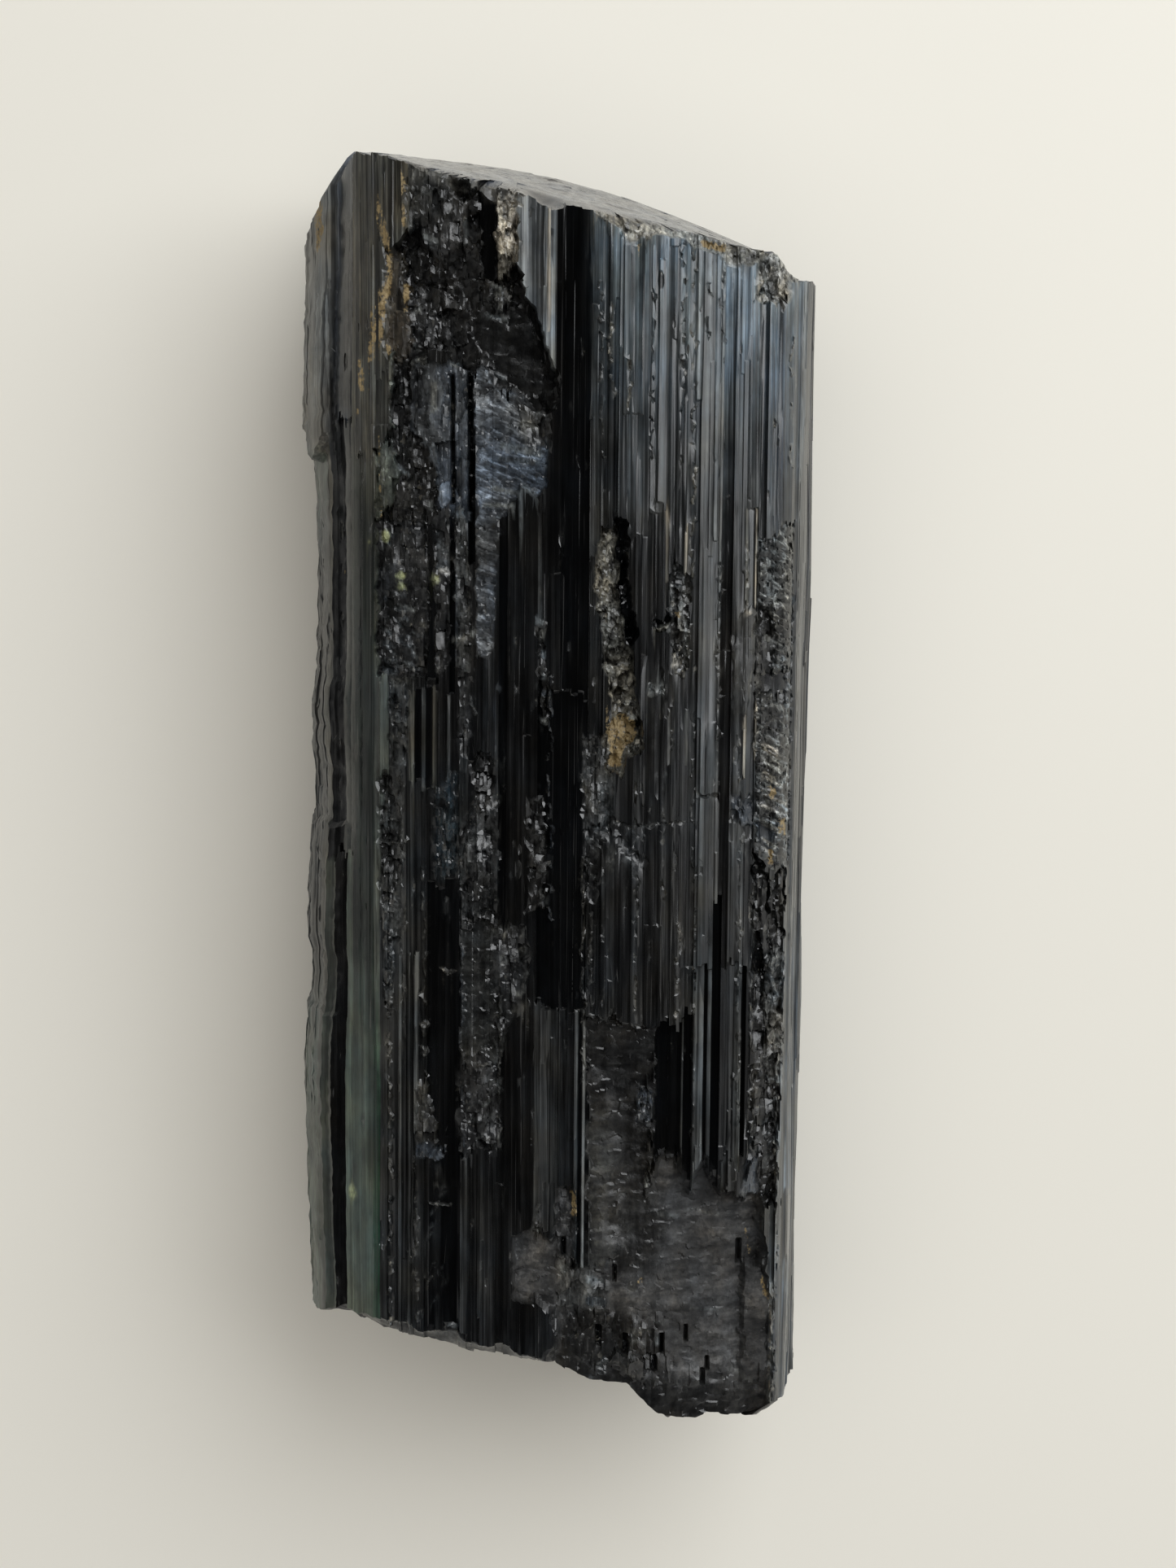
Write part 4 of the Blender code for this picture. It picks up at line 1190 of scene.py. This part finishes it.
def painted_glints_and_marks(shape):
    """Painted glints and larger bright flakes, dark clefts sunk between them, lime spots, and the feathered
    channel's raised ridges, painted pale as highlights.
    """
    rng = np.random.default_rng(SEED + 81)
    for left, right, low, high, count, slant, shade in PAINTED_GLINTS:
        middles = rng.uniform((left, low), (right, high), (max(3, count // 7), 2))
        for _ in range(count):
            x, y = middles[rng.integers(len(middles))] + rng.normal(0, (0.5, 1.1))
            x, y = np.clip((x, y), (left, low), (right, high))
            run, thick = rng.uniform(0.25, 0.7), rng.uniform(0.12, 0.28)
            patch(shape, x, y, run, thick, run * slant * rng.uniform(0.6, 1.4), shade)
    for x, y, run, thick, drop, shade in LARGE_FLAKES_AND_GLINTS:
        patch(shape, x, y, run, thick, drop, shade)
    for x, y, run, thick, drop, shade in CLEFTS:
        patch(shape, x, y, run, thick, drop, shade, 0.6)
    for x, y, across, along in SPOTS:
        turns = np.linspace(0, 2 * pi, 9)[:-1]
        outline = [(x + across * cos(turn), y + along * sin(turn)) for turn in turns]
        shape.marked(outline, "lime", 0.0)
    # The feathered channel's raised ridges, painted pale as highlights.
    y = -4.9
    while y < 5.5:
        y += rng.uniform(0.45, 0.9)
        left, right = rng.uniform(17.5, 18.4), rng.uniform(18.8, 20.4)
        drop, thick = (right - left) * rng.uniform(0.35, 0.7), rng.uniform(0.10, 0.24)
        outline = [(left, y + drop), (right, y), (right, y + thick), (left, y + drop + thick)]
        shade = ("crystals", "silver", "white")[rng.integers(3)]
        shape.marked(outline, shade, -0.15)


def painted_sheen(shape):
    """Painted sheen (reflected window light): pale bluish on the front's right, more towards the smooth end.
    """
    end = np.clip((shape.along - 19.0) / 30.0, 0, 1) ** 2.2
    side = smooth_between(shape.seen_x, 2.0, 6.0) * (0.85 + 0.35 * smooth_between(shape.seen_x, 8.0, 18.0))
    patchy = 1 + 0.35 * fractal(shape.seen_x * 0.9, shape.along * 0.12, 151, 3)
    front = smooth_between(shape.points[:, 1:], 22.5, 25.5)
    sheen = front * end * side * np.clip(patchy, 0.3, 2.0) * np.clip(shape.ribbing, 0.25, 1.0)
    shape.albedo += sheen[..., None] * np.array(SHEEN_COLOUR)


# Iron stains, as seen outlines.
STAINS = (
    [(-15.2, 51.2), (-14.6, 51.2), (-13.7, 48.0), (-13.7, 45.0), (-14.3, 42.8), (-14.8, 38.6), (-15.9, 38.3),
     (-15.9, 40.7), (-15.2, 43.0), (-14.4, 45.0), (-14.3, 47.3), (-15.0, 49.6)],
    [(-16.8, 38.6), (-16.3, 38.6), (-16.1, 36.0), (-16.7, 35.6)],
    [(-16.9, 34.4), (-16.6, 34.4), (-16.6, 33.4), (-16.9, 33.4)],
    [(-12.9, 45.0), (-12.2, 44.8), (-12.6, 42.0), (-13.0, 42.2)],
    [(-14.4, 39.8), (-13.9, 39.6), (-14.0, 38.8), (-14.5, 38.8)],
    [(-20.0, 54.0), (-19.2, 53.5), (-19.0, 48.0), (-19.7, 47.0)],
    [(-13.2, 53.6), (-12.4, 53.4), (-12.6, 51.8), (-13.2, 52.0)],
    [(-12.9, 51.5), (-12.6, 51.5), (-12.5, 49.0), (-13.0, 49.4)],
    [(-15.1, 32.5), (-14.9, 32.5), (-14.8, 25.0), (-15.1, 25.0)],
    [(1.2, 48.5), (1.6, 48.5), (1.7, 46.3), (1.3, 46.3)],
    [(6.9, 48.0), (7.3, 48.0), (7.3, 47.2), (6.9, 47.2)],
    [(-18.6, 21.0), (-18.3, 21.0), (-18.3, 19.9), (-18.6, 19.9)],
    [(4.2, 7.2), (5.6, 8.4), (7.0, 7.6), (7.1, 6.0), (5.9, 5.0), (5.7, 3.5), (4.4, 3.5), (4.6, 5.4)],
    [(10.2, 17.1), (10.7, 17.1), (10.7, 16.5), (10.2, 16.5)],
    [(16.6, -37.6), (16.9, -37.6), (17.5, -40.4), (17.2, -40.6)],
    [(17.9, -41.7), (18.4, -41.8), (18.9, -44.0), (18.3, -43.6)],
    [(18.4, 2.2), (19.2, 1.6), (18.9, 0.6), (18.3, 1.0)],
    [(19.2, -0.6), (20.0, -0.8), (20.0, -2.4), (19.3, -2.2)],
    [(18.3, -3.6), (18.9, -3.6), (18.9, -5.0), (18.4, -5.0)],
    [(12.2, 48.6), (14.6, 48.0), (14.4, 47.2), (12.4, 47.8)],
    [(1.2, -34.0), (1.8, -34.0), (1.8, -36.5), (1.2, -36.5)],
    [(7.2, -42.4), (7.8, -42.2), (7.8, -42.9), (7.2, -42.9)],
)


def iron_stains(shape):
    """Lays the iron stains."""
    for outline in STAINS:
        shape.stained(outline)


# --- The mesh -----------------------------------------------------------------------------------------------


def cap_rings(edge, face_y, texture, margin):
    """Rings from the edge row inwards to the middle, following a broken face."""
    reach = np.hypot(edge[:, 0] - MIDDLE[0], edge[:, 2] - MIDDLE[1]).max()
    shares = np.linspace(1, 0, int(reach / CAP_STEP) + 1)[1:-1]
    off_edge = edge[:, 1] - face_y(edge[:, 0], edge[:, 2])
    rings = []
    for share in shares:
        x = MIDDLE[0] + (edge[:, 0] - MIDDLE[0]) * share
        z = MIDDLE[1] + (edge[:, 2] - MIDDLE[1]) * share
        rough = texture(x, z) * min(1.0, (1 - share) / margin)
        keep = np.clip((share - 0.9) / 0.1, 0, 1)
        rings.append(np.stack([x, face_y(x, z) + rough + off_edge * keep, z], axis=1))
    middle = np.array([[MIDDLE[0], face_y(MIDDLE[:1], MIDDLE[1:])[0], MIDDLE[1]]])
    return rings, middle


def grid_mesh(name, rows, first, last):
    """A closed mesh from rings of points, with one point at each end."""
    ring_count, size = len(rows), len(rows[0])
    points = np.vstack([first, *rows, last]) * MM
    index = 1 + np.arange(ring_count * size).reshape(ring_count, size)
    beside = np.roll(index, -1, axis=1)
    quads = np.stack([index[:-1], index[1:], beside[1:], beside[:-1]], axis=-1).reshape(-1, 4)
    start_fan = np.stack([np.zeros(size, int), index[0], beside[0]], axis=1)
    end_fan = np.stack([np.full(size, len(points) - 1), beside[-1], index[-1]], axis=1)
    corners = np.concatenate([quads.ravel(), start_fan.ravel(), end_fan.ravel()])
    sizes = np.concatenate([np.full(len(quads), 4), np.full(2 * size, 3)])
    mesh = bpy.data.meshes.new(name)
    mesh.vertices.add(len(points))
    mesh.vertices.foreach_set("co", points.astype(np.float32).ravel())
    mesh.loops.add(len(corners))
    mesh.loops.foreach_set("vertex_index", corners.astype(np.int32))
    mesh.polygons.add(len(sizes))
    mesh.polygons.foreach_set("loop_start", np.concatenate([[0], np.cumsum(sizes)[:-1]]).astype(np.int32))
    mesh.update(calc_edges=True)
    mesh.validate()
    return mesh


def add_attribute(mesh, name, kind, values):
    """Stores one value or colour for each of the mesh's points."""
    layer = mesh.attributes.new(name, kind, "POINT")
    field = "color" if kind == "FLOAT_COLOR" else "value"
    layer.data.foreach_set(field, values.astype(np.float32).ravel())


def crystal_mesh():
    """The closed mesh of the whole crystal, before it is thinned, with its attributes."""
    section = Section()
    shape = Surface(section)
    add_columns(shape)
    broken_places(shape)
    rough_threads(shape)
    painted_glints_and_marks(shape)
    painted_sheen(shape)
    shape.plain_flanks()
    iron_stains(shape)
    shape.nicks(0.9, 0.014, 0.12, 131)
    shape.nicks(0.45, 0.030, 0.08, 141)
    height = shape.finish()
    upward = smooth_between(shape.points[:, 1:], *UPWARD)
    outward = shape.normal * (1 - upward) + np.array((0.0, 1.0)) * upward
    xz = shape.points[:, None, :] + outward[:, None, :] * height[..., None]
    xz += shape.normal[:, None, :] * shape.form[..., None]
    lean = AXIS_LEAN * shape.y
    body = np.stack([xz[..., 0] + lean, shape.y, np.maximum(xz[..., 1], 0.0)], axis=-1)
    low_rings, low_point = cap_rings(body[:, 0], rough_end, end_hackle, 0.12)
    high_rings, high_point = cap_rings(body[:, -1], smooth_end, end_grain, 0.04)
    rows = low_rings[::-1] + [body[:, k] for k in range(body.shape[1])] + high_rings
    mesh = grid_mesh("tourmaline_crystal_surface", rows, low_point, high_point)

    size = len(shape.round)

    def add(name, kind, field, low_value, high_value):
        """Adds an attribute that has one value on each end face."""
        low_block = np.tile(low_value, (1 + len(low_rings) * size, 1))
        high_block = np.tile(high_value, (1 + len(high_rings) * size, 1))
        over_body = np.swapaxes(field, 0, 1).reshape(-1, field.shape[-1])
        add_attribute(mesh, name, kind, np.vstack([low_block, over_body, high_block]))

    colour = np.concatenate([shape.albedo, np.ones((*shape.y.shape, 1))], axis=-1)
    add("albedo", "FLOAT_COLOR", colour, (*SHADES["fracture"][0], 1), (*SMOOTH_END_ALBEDO, 1))
    for name, field, low_value, high_value in (
        ("rough", shape.rough, 0.38, 0.20), ("stain", shape.stain, 0.0, 0.0),
        ("rugged", shape.rugged, 0.6, 0.15),
        ("glitter", shape.glitter, 0.1, 0.05), ("layered", shape.layered, 0.5, 0.5),
        ("feather", shape.feather, 0.0, 0.0),
        ("ribbed", np.clip(shape.ribbing, 0, 1), 0.0, 0.0),
    ):
        add(name, "FLOAT", field[..., None], (low_value,), (high_value,))
    return mesh


def expendable(whole):
    """Weights that let the flanks and base lose more triangles than the front, and its breaks the fewest."""
    count = len(whole.data.vertices)
    places, rugged = np.empty(count * 3, np.float32), np.empty(count, np.float32)
    whole.data.vertices.foreach_get("co", places)
    whole.data.attributes["rugged"].data.foreach_get("value", rugged)
    in_front = places[2::3] > 23.0 * MM
    broken = in_front & (rugged > 0.5)
    group = whole.vertex_groups.new(name="expendable")
    for chosen, weight in ((broken, 0.3), (in_front & ~broken, 0.6), (~in_front, 1.0)):
        group.add(np.nonzero(chosen)[0].tolist(), weight, "REPLACE")


def shape_crystal(material):
    """The finished crystal: thinned, shaded and moved into the row frame."""
    mesh = crystal_mesh()
    whole = bpy.data.objects.new("tourmaline_crystal_visual", mesh)
    bpy.context.scene.collection.objects.link(whole)
    expendable(whole)
    thin = whole.modifiers.new("fewer triangles", "DECIMATE")
    triangles = sum(1 if n == 3 else 2 for n in (len(p.vertices) for p in mesh.polygons))
    thin.ratio = TRIANGLES / triangles
    thin.vertex_group = "expendable"
    thin.vertex_group_factor = 0.0004
    kept = bpy.data.meshes.new_from_object(whole.evaluated_get(bpy.context.evaluated_depsgraph_get()))
    whole.modifiers.clear()
    whole.data = kept
    bpy.data.meshes.remove(mesh)
    whole.vertex_groups.clear()
    kept.materials.clear()
    kept.materials.append(material)
    kept.shade_smooth()
    kept.set_sharp_from_angle(angle=radians(18))
    kept.transform(Matrix.Translation((ROW_SHIFT[0] * MM, ROW_SHIFT[1] * MM, 0.0)))
    return whole


# --- Material -----------------------------------------------------------------------------------------------


def node(tree, kind, **settings):
    """A new node with its settings."""
    made = tree.nodes.new(kind)
    for name, value in settings.items():
        setattr(made, name, value)
    return made


def attribute(tree, name):
    """A node that reads one of the mesh's attributes."""
    return node(tree, "ShaderNodeAttribute", attribute_name=name)


def stretched(tree, stretch, turn_deg=0.0):
    """The place on the object, turned about Z and then with its axes scaled."""
    place = node(tree, "ShaderNodeTexCoord")
    mapping = node(tree, "ShaderNodeMapping", vector_type="TEXTURE")
    mapping.inputs["Rotation"].default_value = (0.0, 0.0, radians(-turn_deg))
    mapping.inputs["Scale"].default_value = [1 / share for share in stretch]
    tree.links.new(place.outputs["Object"], mapping.inputs["Vector"])
    return mapping.outputs["Vector"]


def noise(tree, stretch, scale, detail=3.0, rough=0.55, turn_deg=0.0):
    """A noise texture whose cells are stretched; scale is in cells per metre across the columns."""
    made = node(tree, "ShaderNodeTexNoise")
    made.inputs["Scale"].default_value = scale
    made.inputs["Detail"].default_value = detail
    made.inputs["Roughness"].default_value = rough
    tree.links.new(stretched(tree, stretch, turn_deg), made.inputs["Vector"])
    return made.outputs["Fac"]


def cells(tree, stretch, scale):
    """A random vector for each small cell, and its three numbers."""
    made = node(tree, "ShaderNodeTexVoronoi")
    made.inputs["Scale"].default_value = scale
    tree.links.new(stretched(tree, stretch), made.inputs["Vector"])
    split = node(tree, "ShaderNodeSeparateColor")
    tree.links.new(made.outputs["Color"], split.inputs["Color"])
    return made.outputs["Color"], *(split.outputs[name] for name in ("Red", "Green", "Blue"))


def remap(tree, value, low, high, to_low, to_high):
    """A value moved from one range into another, and kept within it."""
    made = node(tree, "ShaderNodeMapRange")
    tree.links.new(value, made.inputs["Value"])
    for name, number in (("From Min", low), ("From Max", high), ("To Min", to_low), ("To Max", to_high)):
        made.inputs[name].default_value = number
    return made.outputs["Result"]


def join(tree, slots, values):
    """Sets each slot to a constant, or links it to a socket."""
    for slot, value in zip(slots, values):
        if isinstance(value, (float, tuple)):
            slot.default_value = value
        else:
            tree.links.new(value, slot)


def combine(tree, operation, *values):
    """A sum on numbers."""
    made = node(tree, "ShaderNodeMath", operation=operation)
    join(tree, made.inputs, values)
    return made.outputs["Value"]


def vector(tree, operation, *values):
    """A sum on vectors."""
    made = node(tree, "ShaderNodeVectorMath", operation=operation)
    join(tree, made.inputs, values)
    return made.outputs["Vector"]


def scaled(tree, value, share):
    """A vector times a number."""
    made = node(tree, "ShaderNodeVectorMath", operation="SCALE")
    join(tree, (made.inputs["Vector"], made.inputs["Scale"]), (value, share))
    return made.outputs["Vector"]


def mix(tree, share, one, other, kind="RGBA"):
    """A blend of two colours or numbers."""
    made = node(tree, "ShaderNodeMix", data_type=kind)
    fitting = "RGBA" if kind == "RGBA" else "VALUE"
    slots = [slot for slot in made.inputs if slot.name in ("A", "B") and slot.type == fitting]
    join(tree, (made.inputs["Factor"], *slots), (share, one, other))
    return next(slot for slot in made.outputs if slot.type == fitting)


def tourmaline():
    """Black tourmaline: its hair-fine striae, the grain of its breaks, its wear, its iron stains, and painted
    highlights.
    """
    material = bpy.data.materials.new("tourmaline")
    material.use_nodes = True
    tree = material.node_tree
    shader = tree.nodes["Principled BSDF"]
    shader.inputs["IOR"].default_value = 1.64
    albedo = attribute(tree, "albedo").outputs["Color"]
    rough, rugged, glitter, layered, stain, ribbed, feather = (
        attribute(tree, name).outputs["Fac"]
        for name in ("rough", "rugged", "glitter", "layered", "stain", "ribbed", "feather"))

    _, stria_a, stria_b, stria_c = cells(tree, (1.0, 0.012, 1.0), 6500)
    _, band_a, band_b, _ = cells(tree, (1.0, 0.02, 1.0), 2200)
    crumb_tilt, crumb_a, crumb_b, crumb_c = cells(tree, (1.0, 0.7, 1.0), 3000)
    _, grit, _, _ = cells(tree, (1.0, 0.8, 1.0), 7500)
    streaks = noise(tree, (1.0, 0.035, 1.0), 1500, 4.0, 0.6)
    upright = noise(tree, (1.0, 0.35, 1.0), 1700, 5.0, 0.65)
    layers = noise(tree, (0.45, 1.3, 1.0), 620, 6.0, 0.72)
    grain = noise(tree, (1.0, 0.8, 1.0), 3600, 4.0, 0.62)
    blotches = noise(tree, (1.0, 0.5, 1.0), 420, 4.0, 0.6)

    streaky = remap(tree, streaks, 0.36, 0.66, 0.45, 1.45)
    streaky = combine(tree, "MULTIPLY", streaky, remap(tree, stria_a, 0, 1, 0.45, 1.55))
    streaky = combine(tree, "MULTIPLY", streaky, remap(tree, band_a, 0, 1, 0.45, 1.55))
    # Painted highlights: rare thin pale hairlines in the striae, where rib edges catch the light.
    hairline_highlights = combine(tree, "MULTIPLY", combine(tree, "POWER", stria_b, 14.0), 1.4)
    streaky = combine(tree, "ADD", streaky, hairline_highlights)
    streaky = mix(tree, remap(tree, ribbed, 0, 1, 0.12, 1), 1.0, streaky, "FLOAT")
    mottled = remap(tree, mix(tree, layered, upright, layers, "FLOAT"), 0.37, 0.63, 0.15, 2.0)
    mottled = combine(tree, "MULTIPLY", mottled, remap(tree, crumb_a, 0.0, 1.0, 0.6, 1.4))
    mottled = combine(tree, "MULTIPLY", mottled, remap(tree, grain, 0.35, 0.65, 0.7, 1.3))
    varied = mix(tree, rugged, streaky, mottled, "FLOAT")
    varied = combine(tree, "MULTIPLY", varied, remap(tree, blotches, 0.36, 0.64, 0.55, 1.45))
    # Painted highlights on the slanting edges of ledges, as strong as the feather attribute asks.
    edges = remap(tree, noise(tree, (0.22, 1.0, 1.0), 1850, 3.0, 0.55, 27.0), 0.52, 0.60, 0.0, 1.0)
    edges = combine(tree, "MULTIPLY", combine(tree, "MULTIPLY", edges, feather), 6.0)
    varied = combine(tree, "MULTIPLY", varied, combine(tree, "ADD", edges, 1.0))
    stone = scaled(tree, albedo, varied)
    warmth = remap(tree, noise(tree, (1.0, 0.6, 1.0), 260, 3.0, 0.6), 0.36, 0.64, 0.0, 1.0)
    stone = vector(tree, "MULTIPLY", stone, mix(tree, warmth, (0.93, 1.0, 1.09, 1.0), (1.10, 1.0, 0.87, 1.0)))

    # Pale specks added to the colour: partly pale crystals of the breaks, partly painted glints.
    specks_and_glints = combine(tree, "ADD", combine(tree, "POWER", crumb_b, 20.0), combine(tree, "POWER", grit, 30.0))
    clumps = remap(tree, noise(tree, (1.0, 0.6, 1.0), 480, 3.0, 0.6), 0.47, 0.64, 0.0, 1.5)
    specks_and_glints = combine(tree, "MULTIPLY", combine(tree, "MULTIPLY", specks_and_glints, glitter), clumps)
    tinted = mix(tree, crumb_c, (0.30, 0.32, 0.34, 1.0), (0.34, 0.31, 0.24, 1.0))
    stone = vector(tree, "ADD", stone, scaled(tree, tinted, specks_and_glints))

    patchy = remap(tree, upright, 0.3, 0.7, -0.5, 0.5)
    patchy = combine(tree, "ADD", patchy, remap(tree, grain, 0.3, 0.7, -0.45, 0.45))
    rusty = combine(tree, "MULTIPLY", stain, combine(tree, "ADD", patchy, 1.0))
    rusty = remap(tree, rusty, 0.58, 0.9, 0.0, 0.92)
    ochre = mix(tree, remap(tree, grain, 0.4, 0.62, 0.0, 1.0), *OCHRES)
    tree.links.new(mix(tree, rusty, stone, ochre), shader.inputs["Base Color"])

    uneven = combine(tree, "ADD", rough, remap(tree, streaks, 0.35, 0.65, -0.06, 0.10))
    uneven = combine(tree, "ADD", uneven, combine(tree, "MULTIPLY", rusty, 0.35))
    tree.links.new(uneven, shader.inputs["Roughness"])

    bump = node(tree, "ShaderNodeBump")
    bump.inputs["Distance"].default_value = 0.000028
    join(tree, (bump.inputs["Strength"], bump.inputs["Height"]), (combine(tree, "ADD", rugged, 0.05), grain))
    normal = node(tree, "ShaderNodeNewGeometry").outputs["Normal"]
    sideways = vector(tree, "CROSS_PRODUCT", (0.0, 1.0, 0.0), normal)
    smooth_share = combine(tree, "SUBTRACT", 1.0, rugged)
    turns = [combine(tree, "POWER", remap(tree, one, 0, 1, -1, 1), 3.0) for one in (stria_c, band_b)]
    rib_tilt = combine(tree, "MULTIPLY", combine(tree, "ADD", *turns), 0.13)
    rib_tilt = combine(tree, "MULTIPLY", rib_tilt, combine(tree, "MULTIPLY", smooth_share, ribbed))
    crumb_share = combine(tree, "MULTIPLY", rugged, remap(tree, glitter, 0.0, 1.0, 0.03, 0.6))
    tilted = vector(tree, "ADD", bump.outputs["Normal"], scaled(tree, sideways, rib_tilt))
    crumb_turn = vector(tree, "SUBTRACT", crumb_tilt, (0.5, 0.5, 0.5))
    tilted = vector(tree, "ADD", tilted, scaled(tree, crumb_turn, crumb_share))
    tree.links.new(vector(tree, "NORMALIZE", tilted), shader.inputs["Normal"])
    return material


# --- Table, light and camera --------------------------------------------------------------------------------


def table():
    """A pale round table, lit less by the lamps far out and so given a little glow of its own there."""
    bpy.ops.mesh.primitive_circle_add(vertices=96, radius=0.9, fill_type="TRIFAN")
    floor = bpy.context.object
    floor.name = "table"
    material = bpy.data.materials.new("table")
    material.use_nodes = True
    tree = material.node_tree
    shader = tree.nodes["Principled BSDF"]
    shader.inputs["Base Color"].default_value = (0.80, 0.775, 0.70, 1.0)
    shader.inputs["Roughness"].default_value = 0.6
    shader.inputs["Emission Color"].default_value = (0.30, 0.30, 0.29, 1.0)
    place = node(tree, "ShaderNodeTexCoord")
    far = node(tree, "ShaderNodeVectorMath", operation="LENGTH")
    tree.links.new(place.outputs["Object"], far.inputs[0])
    glow = remap(tree, far.outputs["Value"], 0.22, 0.80, 0.0, 1.0)
    tree.links.new(glow, shader.inputs["Emission Strength"])
    floor.data.materials.append(material)


def room():
    """The room's light: pale low down and dark overhead, and dimmer on the side away from the window."""
    world = bpy.data.worlds.new("room")
    bpy.context.scene.world = world
    world.use_nodes = True
    tree = world.node_tree
    back = tree.nodes["Background"]
    place = node(tree, "ShaderNodeTexCoord")
    split = node(tree, "ShaderNodeSeparateXYZ")
    ramp = node(tree, "ShaderNodeValToRGB")
    tree.links.new(place.outputs["Generated"], split.inputs[0])
    tree.links.new(split.outputs["Z"], ramp.inputs["Fac"])
    tree.links.new(ramp.outputs["Color"], back.inputs["Color"])
    tree.links.new(remap(tree, split.outputs["X"], -0.7, 0.7, 0.42, 0.78), back.inputs["Strength"])
    stops = (
        (0.0, (0.86, 0.85, 0.82)), (0.28, (0.86, 0.86, 0.84)), (0.56, (0.20, 0.20, 0.205)),
        (0.82, (0.034, 0.034, 0.036)), (1.0, (0.020, 0.020, 0.022)),
    )
    ramp.color_ramp.elements[0].position = 0.0
    ramp.color_ramp.elements[1].position = 1.0
    for position, colour in stops[1:-1]:
        ramp.color_ramp.elements.new(position)
    for element, (position, colour) in zip(ramp.color_ramp.elements, stops):
        element.position = position
        element.color = (*colour, 1.0)


def lamp(name, where, size, watts, colour):
    """A rectangular lamp that faces the origin and can't be seen itself."""
    light = bpy.data.lights.new(name, "AREA")
    light.shape = "RECTANGLE"
    light.size, light.size_y = size
    light.energy, light.color = watts, colour
    made = bpy.data.objects.new(name, light)
    made.location = where
    made.rotation_euler = (-Vector(where)).to_track_quat("-Z", "Y").to_euler()
    made.visible_camera = False
    bpy.context.scene.collection.objects.link(made)
    return made


def lamps():
    """The window beyond the crystal's right side, and a wide soft light above that leaves no glints."""
    lamp("window", (0.42, 0.42, 0.55), (0.9, 0.55), 6.4, (0.96, 0.98, 1.0))
    above = lamp("above", (-0.15, 0.08, 1.0), (1.3, 1.3), 5.5, (1.0, 0.97, 0.93))
    above.visible_glossy = False


def camera():
    """The camera, at the photographer's place and angle."""
    lens = bpy.data.cameras.new("camera")
    lens.lens, lens.sensor_width = LENS_MM, SENSOR_MM
    lens.clip_start = 0.01
    eye = bpy.data.objects.new("camera", lens)
    eye.location = Vector((CAMERA_TARGET[0] + ROW_SHIFT[0], CAMERA_Y + ROW_SHIFT[1], CAMERA_Z)) * MM
    eye.rotation_euler = Euler((-radians(CAMERA_TILT_DEG), 0.0, 0.0))
    bpy.context.scene.collection.objects.link(eye)
    bpy.context.scene.camera = eye


bpy.context.scene.view_settings.view_transform = "Standard"
camera()
table()
room()
lamps()
crystal = shape_crystal(tourmaline())
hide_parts("tourmaline_crystal")
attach(crystal, "root")
